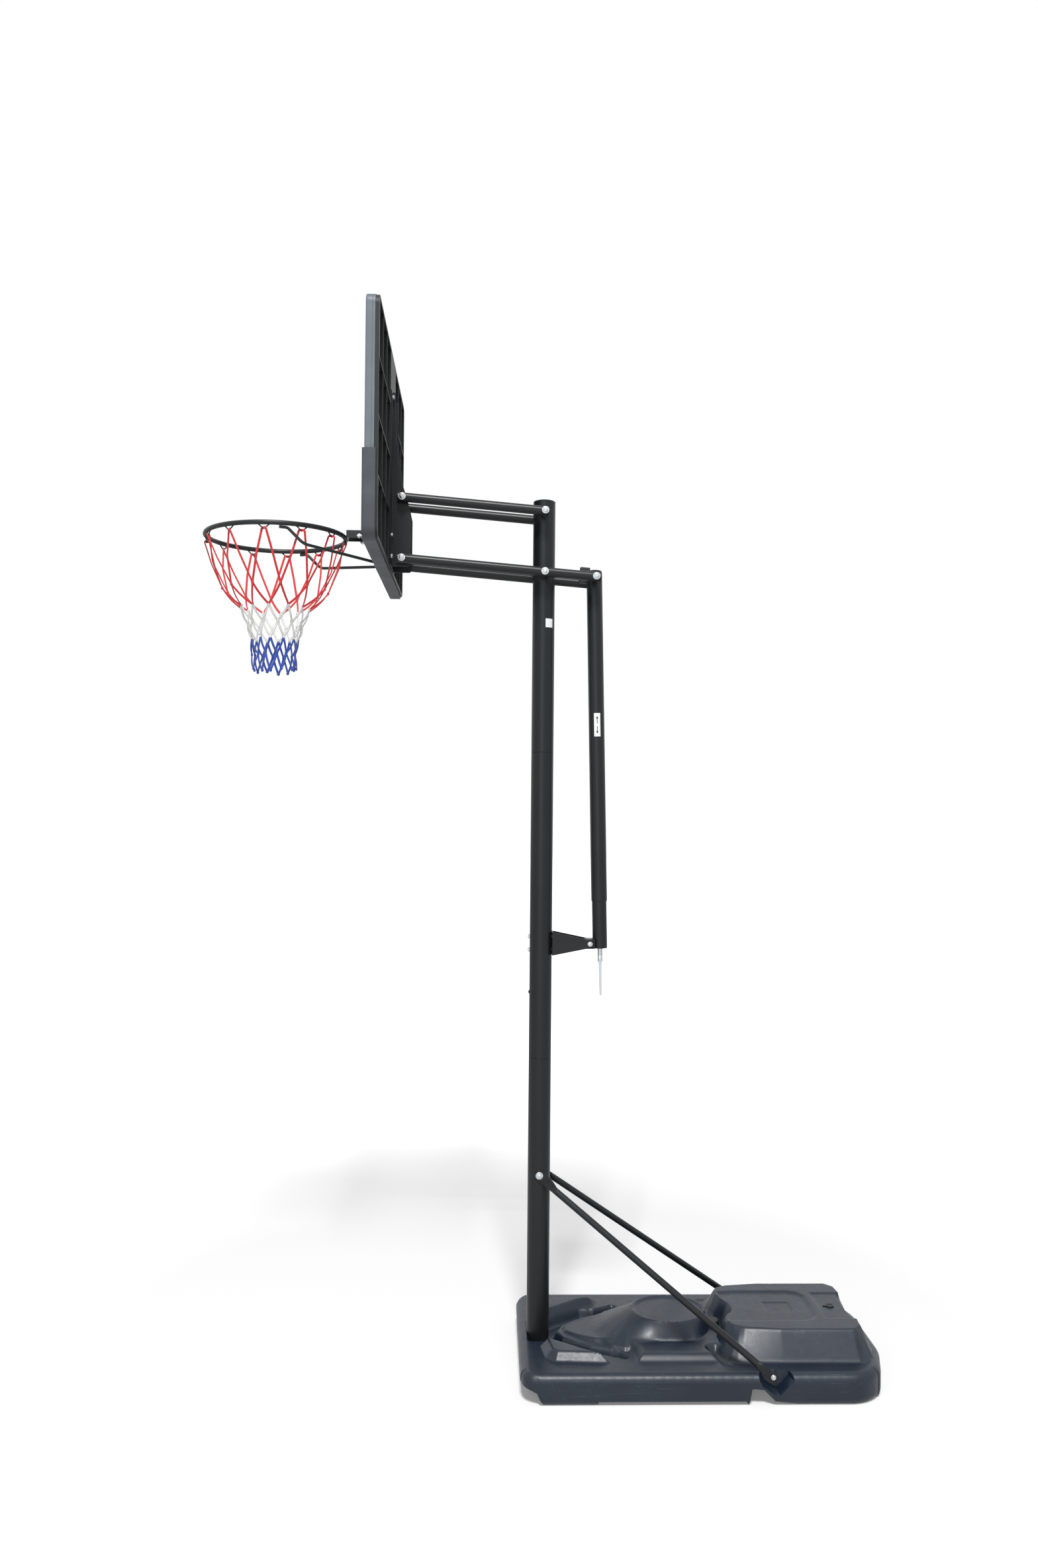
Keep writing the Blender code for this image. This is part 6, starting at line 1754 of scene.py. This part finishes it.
@dataclass
class Board:
    """The backboard: its shell, face, foam pad and the bracket behind it."""

    half_width: float = 0.559
    low_z: float = 2.694
    high_z: float = 3.431
    front_x: float = -0.565
    back_x: float = -0.525
    corner: float = 0.030
    pad_proud: float = 0.008
    pad_lip: float = 0.045
    pad_top_z: float = 2.959
    pad_back_gap: float = 0.006
    notch_half: float = 0.094
    trim_proud: float = 0.0023
    trim_lip: float = 0.0015
    trim_stop: float = 0.012

    def border(self, grow: float) -> Array:
        """The board's edge from the pad's top on one side, round below, to the other.

        Every distance gets the same count of points, so edges at different distances pair
        up point by point.

        Args:
            grow: How far outside the board's own edge the path runs.

        Returns:
            Its points in Y and Z.
        """
        half, low, cut = self.half_width + grow, self.low_z - grow, self.notch_half
        radius = max(self.corner + grow, 0.006)
        down = np.linspace(self.pad_top_z, low + radius, 14)[:-1]
        angle = np.linspace(0, np.pi / 2, 15)
        places = np.concatenate([np.linspace(half - radius, cut + 0.006, 30)[1:],
                                 np.linspace(cut + 0.005, cut, 5)])
        side = np.concatenate([
            np.column_stack([np.full(len(down), half), down]),
            np.column_stack([half - radius + radius * np.cos(angle),
                             low + radius - radius * np.sin(angle)]),
            np.column_stack([places, np.full(len(places), low)]),
        ])
        return np.concatenate([side, side[::-1] * (-1, 1)])

    @staticmethod
    def carried(section: Array, borders: Array) -> Shell:
        """Carries a section round the board's edge.

        Args:
            section: Each point's distance outside the board's edge, and its depth.
            borders: The edges at those distances, one column for each section point.

        Returns:
            The surface.
        """
        depth = np.broadcast_to(section[:, 1], borders.shape[:2])
        return Shell.over(np.dstack([depth, borders]))

    def pad(self) -> Shell:
        """The foam pad: a channel over the board's lower edge.

        Between the notch's sides the lip in front falls away.

        Returns:
            The pad's surface.
        """
        front, back = self.front_x - self.pad_proud, self.back_x - self.pad_back_gap
        seat = self.front_x - SEAT_GAP
        corners = [(SEAT_GAP, back), (SEAT_GAP, seat), (-self.pad_lip, seat),
                   (-self.pad_lip, front), (self.pad_proud, front), (self.pad_proud, back)]
        section = rounded(corners, (0.0015, 0.0002, 0.002, 0.0045, 0.0065, 0.003), 5, ring=True)
        borders = np.stack([self.border(grow) for grow, _ in section], axis=1)
        whole = np.abs(borders[:, 0, 0]) > self.notch_half + 0.003
        whole |= borders[:, 0, 1] > self.low_z + 0.1
        flush = np.stack([self.border(max(grow, SEAT_GAP)) for grow, _ in section], axis=1)
        return self.carried(section, np.where(whole[:, None, None], borders, flush))

    def trim(self) -> Shell:
        """The moulded band round the board's edge, from the pad's top up and over.

        It wraps the front corner in a round, has a fine groove round it, and stops short of
        the shell's rear flange.

        Returns:
            The band's surface.
        """
        out, lip = self.trim_proud, self.front_x - self.trim_lip
        seat, rear = self.front_x - SEAT_GAP, self.back_x - self.trim_stop
        groove = (self.front_x + self.back_x) / 2 - 0.001
        corners = [(SEAT_GAP, rear), (SEAT_GAP, seat), (-0.010, seat), (-0.010, lip),
                   (out, lip), (out, groove - 0.0008), (out - 0.0009, groove - 0.0005),
                   (out - 0.0009, groove + 0.0005), (out, groove + 0.0008), (out, rear)]
        radii = (0.0002, 0.0002, 0.0004, 0.0006, 0.005, 0.0004, 0.0002, 0.0002, 0.0004, 0.0012)
        section = rounded(corners, radii, 5, ring=True)
        borders = []
        for grow, _ in section:
            half, low = self.half_width + grow, self.pad_top_z + SEAT_GAP
            top, turn = self.high_z + grow, max(self.corner + grow, 0.004)
            run = [(half, low), (half, top), (-half, top), (-half, low)]
            borders.append(rounded(run, (0, turn, turn, 0), 16))
        return self.carried(section, np.stack(borders, axis=1))

    def build(self) -> list[Object]:
        """Makes the pad, the edge band and the softened bracket, and dresses the rest.

        Returns:
            The new pieces.
        """
        dress(BOARD_SHELL, "board_frame")
        dress(FACE_SHEET, "board_panel")
        return [self.pad().piece("board_foam_pad", PAD_SKIN, "backboard", "board_pad"),
                self.trim().piece("board_edge_trim", BOARD_TRIM, "backboard"),
                softened("board_bracket", POWDER, "backboard")]


# Rim and net


@dataclass
class Rim:
    """The ring with its hooks, its bracket, braces, springs and studs."""

    centre: Triple = (-0.921, 0.0, 2.805)
    ring_radius: float = 0.2366
    wire_radius: float = 0.008
    hooks: int = 12
    hook_wire: float = 0.0022
    hook_foot: float = 0.021
    hook_shoulder: Pair = (0.011, 0.0125)
    hook_drop: float = 0.0225
    brace_radius: float = 0.005
    brace_weld_back: float = 0.049
    brace_run: Pair = (0.074, 0.2205)
    brace_bend: Triple = (0.125, 0.212, 0.064)
    brace_foot: Pair = (0.040, 2.7165)
    plate_front_x: float = -0.5729
    spring_y: float = 0.050
    spring_z: float = 2.8045
    spring_mean: float = 0.0064
    spring_wire: float = 0.0014
    spring_turns: int = 7
    stud_radius: float = 0.004
    stud_end_x: float = -0.6385
    stud_crease: float = 25.0

    def ring(self) -> Shell:
        """The round bar bent into a ring, with twelve wire hooks under it.

        Returns:
            The ring's and the hooks' surfaces.
        """
        path = self.ring_radius * np.insert(circle(144), 2, 0, axis=1)
        shells = [swept(path, self.wire_radius * circle(24), (0, 0, 1), ring=True)]
        across, drop = self.hook_shoulder
        foot = (self.hook_foot, -self.wire_radius * 0.5)
        corners = [(-foot[0], foot[1]), (-across, -drop), (0, -self.hook_drop),
                   (across, -drop), foot]
        shape = rounded(corners, (0, 0.008, 0.004, 0.008, 0), 6)
        hook = np.insert(shape, 0, np.sqrt(self.ring_radius**2 - shape[:, 0] ** 2), axis=1)
        for i in range(self.hooks):
            spin = about_z(2 * np.pi * i / self.hooks)
            shells.append(swept(hook @ spin.T, self.hook_wire * circle(10), spin[:, 0]))
        return together(shells).moved(Matrix.Translation(self.centre))

    def brace(self, side: Side) -> Shell:
        """One of the rods from under the ring to the foot of the rim's plate.

        Args:
            side: The side that it lies on.

        Returns:
            The rod's surface.
        """
        x, _, z = self.centre
        under = z - self.wire_radius - self.brace_radius - SEAT_GAP
        weld = float(np.sqrt(self.ring_radius**2 - self.brace_weld_back**2))
        foot_x = self.plate_front_x - SEAT_GAP - self.brace_radius * 0.62
        corners = [(x + self.brace_weld_back, weld, under),
                   (x + self.brace_run[0], self.brace_run[1], under),
                   (x + self.brace_bend[0], self.brace_bend[1], z - self.brace_bend[2]),
                   (foot_x, *self.brace_foot)]
        path = rounded(np.array(corners) * (1, side.value, 1), (0, 0.02, 0.04, 0), 10)
        return swept(path, self.brace_radius * circle(20), (0.3, 0, 1))

    def spring(self, side: Side) -> Shell:
        """A coil on its stud, whose turns lie a little closer in the middle.

        Args:
            side: The side that it lies on.

        Returns:
            The coil's surface.
        """
        start = self.plate_front_x - SEAT_GAP - self.spring_wire
        end = self.stud_end_x + 0.0105 + SEAT_GAP + self.spring_wire
        share = np.linspace(0, 1, self.spring_turns * 24 + 1)
        eased = share + 0.035 * np.sin(2 * np.pi * share)
        angle = 2 * np.pi * self.spring_turns * share
        path = np.column_stack([start + (end - start) * eased,
                                side.value * self.spring_y + self.spring_mean * np.cos(angle),
                                self.spring_z + self.spring_mean * np.sin(angle)])
        return swept(path, self.spring_wire * circle(10), (1, 0, 0))

    def stud(self, side: Side) -> Shell:
        """The stud that holds a spring, with its washer and nut.

        Args:
            side: The side that it lies on.

        Returns:
            The stud's surface.
        """
        low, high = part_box(f"spring_stud_{side.label}")
        end, radius = high.x - low.x, self.stud_radius
        nut = end - 0.0085
        rows = [(0, radius), (nut - 0.002, radius), *disc(nut - 0.002, nut, 0.009, 0.0004),
                (nut, 0.0060, 0.4), (nut + 0.0004, 0.0065, 1.0), (end - 0.0034, 0.0065, 1.0),
                (end - 0.0024, 0.0060), (end - 0.002, 0.0052), (end - 0.002, radius),
                (end - 0.0006, radius), (end, radius - 0.0008)]
        place = (high.x, side.value * self.spring_y, self.spring_z)
        return turned(rows, 48).moved(standing(place, (-1, 0, 0)))

    def build(self) -> list[Object]:
        """Makes the ring, braces, springs and studs, and softens the plates.

        Returns:
            The new pieces.
        """
        made = [self.ring().piece("rim_ring_and_hooks", RIM_POWDER, "rim", "rim_ring")]
        for side in Side:
            name, stud = side.label, f"spring_stud_bolt_{side.label}"
            made += [
                self.brace(side).piece(
                    f"rim_brace_rod_{name}", RIM_POWDER, "rim", f"rim_brace_{name}"
                ),
                self.spring(side).piece(f"rim_coil_{name}", ZINC, "rim", f"rim_spring_{name}"),
                self.stud(side).piece(
                    stud, ZINC, "backboard", f"spring_stud_{name}", self.stud_crease
                ),
            ]
        return [*made, softened("rim_bracket", RIM_POWDER, "rim"),
                softened("rim_mount_plate", RIM_POWDER, "backboard")]


@dataclass
class Net:
    """The knotted net: flat cords that run in pairs from knot to knot, in three bands."""

    rim: Rim = field(default_factory=Rim)
    loops: int = 12
    bar_half: float = 0.007
    bar_cross: float = 0.007
    bend: Triple = (0.080, 0.214, 0.027)
    rows: tuple[Pair, ...] = (
        (0.166, 0.180), (0.228, 0.118), (0.280, 0.094), (0.332, 0.080), (0.386, 0.072),
        (0.440, 0.070),
    )
    top_drop: float = 0.0176
    cord_width: float = 0.0076
    cord_depth: float = 0.0044
    sag: float = 0.004
    seed: int = 7
    crease: float = 60.0

    def section(self) -> Array:
        """The cord's flat oval section."""
        return circle(10) * (self.cord_width / 2, self.cord_depth / 2)

    def knots(self) -> list[Array]:
        """Places the knots, each a little off its ideal place as a net hangs.

        Returns:
            The knots' places, row by row.
        """
        chance = np.random.default_rng(self.seed)
        made = []
        for k, (depth, radius) in enumerate(self.rows):
            turn = 2 * np.pi * (np.arange(self.loops) + 0.5 * ((k + 1) % 2)) / self.loops
            loose = 0.25 + 0.75 * k / (len(self.rows) - 1)
            turn = turn + chance.normal(0, 0.03 * loose, self.loops)
            out = radius + chance.normal(0, 0.004 * loose, self.loops)
            down = -self.top_drop - depth + chance.normal(0, 0.003 * loose, self.loops)
            made.append(np.column_stack([out * np.cos(turn), out * np.sin(turn), down]))
        return made

    def cord_between(self, start: Array, end: Array) -> Shell:
        """A cord from one knot to the next.

        It leaves the straight line by its sag times sin(pi t), down and a little outwards,
        and its flat side faces away from the net's axis.

        Args:
            start: Where it starts.
            end: Where it ends.

        Returns:
            The cord's surface.
        """
        t = np.linspace(0, 1, 12)[:, None]
        path = start + (end - start) * t
        away = path * (1, 1, 0)
        away = away / np.linalg.norm(away, axis=1, keepdims=True)
        path = path + np.sin(np.pi * t) * (away * self.sag * 0.8 - (0, 0, self.sag))
        return swept(path, self.section(), away)

    def knot(self, place: Array) -> Shell:
        """A knot: a ball drawn out to 8 x 11 x 11 mm, with three turns of cord round it.

        Args:
            place: Its middle.

        Returns:
            Its surface.
        """
        around = np.linspace(0, 2 * np.pi, 20, endpoint=False)[None, :]
        up = np.linspace(0.02, np.pi - 0.02, 12)[:, None]
        wrap = np.sin(up) * (1 + 0.10 * np.cos(3 * up * 2 + around))
        z = np.cos(up) * (1 + 0 * around)
        ball = np.dstack([wrap * np.cos(around), wrap * np.sin(around), z])
        ball = ball * (0.0042, 0.0056, 0.0056)
        spin = about_z(np.arctan2(place[1], place[0]))
        return Shell.over(ball @ spin.T + place, cord=ball[..., :2].reshape(-1, 2))

    def build(self) -> list[Object]:
        """Makes the three dyed bands of the net.

        Returns:
            The new pieces.
        """
        red, white, blue = NetColour
        bands: dict[NetColour, list[Shell]] = {colour: [] for colour in NetColour}
        knots = self.knots()
        drop, radius, half = self.bend
        top, mid = -self.top_drop, self.rim.ring_radius
        for i in range(self.loops):
            spin = about_z(2 * np.pi * i / self.loops)
            cross = self.bar_cross if i < self.loops / 2 else -self.bar_cross
            corners = [knots[0][i - 1],
                       spin @ (radius, -half, top - drop),
                       spin @ (mid + cross, -self.bar_half, top),
                       spin @ (mid - cross, self.bar_half, top),
                       spin @ (radius, half, top - drop),
                       knots[0][i]]
            path = rounded(corners, (0, 0.05, 0.006, 0.006, 0.05, 0), 8)
            bands[red].append(swept(path, self.section(), spin[:, 0]))
        for k, colour in enumerate((red, white, white, blue, blue)):
            for i in range(self.loops):
                pair = (i, (i + 1) % self.loops) if k % 2 == 0 else (i - 1, i)
                bands[colour] += [self.cord_between(knots[k][i], knots[k + 1][j]) for j in pair]
        for colour, row in zip((red, white, white, white, blue, blue), knots):
            bands[colour] += [self.knot(place) for place in row]
        centre = Matrix.Translation(self.rim.centre)
        made = [
            together(shells).moved(centre).piece(
                f"net_{colour.name.lower()}", CORDS[colour], "rim", crease=self.crease
            )
            for colour, shells in bands.items()
        ]
        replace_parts(made[0], "net")
        return made


# Studio


@dataclass
class Studio:
    """The pale floor, the soft lights and the camera at the photograph's place."""

    lens: float = 28.43
    sensor: float = 36.0
    eye: Triple = (-0.191, -4.258, 1.898)
    yaw: float = float(np.radians(1.5))
    pitch: float = float(np.radians(0.92))
    roll: float = float(np.radians(0.5))
    far_clip: float = 200.0
    floor_half: float = 40.0
    floor_clear: Pair = (1.6, 6.0)
    floor_glow: float = 0.16
    world: float = 0.2

    def camera(self) -> None:
        """Puts the camera where the photograph was taken from."""
        yaw, pitch, roll = self.yaw, self.pitch, self.roll
        ahead = Vector((np.sin(yaw) * np.cos(pitch), np.cos(yaw) * np.cos(pitch),
                        np.sin(pitch)))
        right = Vector((np.cos(yaw), -np.sin(yaw), 0))
        up = right.cross(ahead)
        side = right * float(np.cos(roll)) + up * float(np.sin(roll))
        top = up * float(np.cos(roll)) - right * float(np.sin(roll))
        data = bpy.data.cameras.new("camera")
        data.lens = self.lens
        data.sensor_width = self.sensor
        data.clip_end = self.far_clip
        camera = bpy.data.objects.new("camera", data)
        turn = Matrix((side, top, -ahead)).transposed().to_4x4()
        camera.matrix_world = Matrix.Translation(self.eye) @ turn
        bpy.context.scene.collection.objects.link(camera)
        bpy.context.scene.camera = camera

    def lamp(self, name: str, place: tuple, aim: tuple, size: float, power: float) -> None:
        """Adds a square soft light.

        Args:
            name: The lamp's name.
            place: Where it hangs.
            aim: What it points at.
            size: Its side, in metres.
            power: Its power in watts.
        """
        data = bpy.data.lights.new(name, "AREA")
        data.size = size
        data.energy = power
        lamp = bpy.data.objects.new(name, data)
        lamp.location = place
        lamp.rotation_euler = (Vector(aim) - Vector(place)).to_track_quat("-Z", "Y").to_euler()
        bpy.context.scene.collection.objects.link(lamp)

    def floor(self) -> None:
        """Lays the matt floor, which glows for the camera, and more so farther off."""
        half = self.floor_half
        mesh = bpy.data.meshes.new("floor")
        corners = [(-half, -half, 0), (half, -half, 0), (half, half, 0), (-half, half, 0)]
        mesh.from_pydata(corners, [], [(0, 1, 2, 3)])
        paint = bpy.data.materials.new("matt_white_floor_paint")
        paint.use_nodes = True
        tree = paint.node_tree
        shader = tree.nodes["Principled BSDF"]
        shader.inputs["Base Color"].default_value = linear("#F4F4F4")
        shader.inputs["Roughness"].default_value = 0.9
        shader.inputs["Emission Color"].default_value = (1, 1, 1, 1)
        near, far = self.floor_clear
        place = add(tree, "TexCoord").outputs["Object"]
        away = add(tree, "VectorMath", {0: place}, operation="LENGTH").outputs["Value"]
        lift = add(tree, "MapRange", {0: away, 1: near, 2: far, 3: self.floor_glow, 4: 1.0})
        seen = add(tree, "LightPath").outputs["Is Camera Ray"]
        shown = add(tree, "Math", {0: lift.outputs[0], 1: seen}, operation="MULTIPLY")
        tree.links.new(shown.outputs[0], shader.inputs["Emission Strength"])
        mesh.materials.append(paint)
        floor = bpy.data.objects.new("floor", mesh)
        bpy.context.scene.collection.objects.link(floor)

    def backdrop(self) -> None:
        """Sets the world, white where it is seen or mirrored and dimmer as a light."""
        world = bpy.data.worlds.new("studio")
        bpy.context.scene.world = world
        world.use_nodes = True
        tree = world.node_tree
        rays = add(tree, "LightPath").outputs
        seen = rays["Is Camera Ray"]
        for other in ("Is Glossy Ray", "Is Transmission Ray"):
            seen = add(tree, "Math", {0: seen, 1: rays[other]}, operation="MAXIMUM").outputs[0]
        level = add(tree, "MapRange", {0: seen, 3: self.world, 4: 1.0})
        tree.links.new(level.outputs[0], tree.nodes["Background"].inputs["Strength"])
        tree.nodes["Background"].inputs["Color"].default_value = (1, 1, 1, 1)

    def build(self) -> list[Object]:
        """Sets up the camera, the lights and the backdrop.

        Returns:
            No pieces, because none of this is part of the stand.
        """
        bpy.context.scene.view_settings.view_transform = "Standard"
        self.camera()
        self.floor()
        self.backdrop()
        self.lamp("key", (-0.6, -10.0, 16.0), (0.3, 0, 0.8), 3.2, 3000)
        self.lamp("fill", (-1.5, -7.5, 3.0), (0.0, 0, 1.2), 4.0, 70)
        return []


def main() -> None:
    """Builds every sub-assembly in order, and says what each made."""
    logging.basicConfig(level=logging.INFO, format="%(name)s: %(message)s")
    parts = [Tank(), Wheels(), Caps(), Pole(), Struts(), Arms(), Jack(), Board(), Rim(),
             Net(), *bolts(), Studio()]
    for part in parts:
        pieces = part.build()
        LOG.info("%s: %s", type(part).__name__, ", ".join(p.name for p in pieces) or "set")


if __name__ == "__main__":
    main()
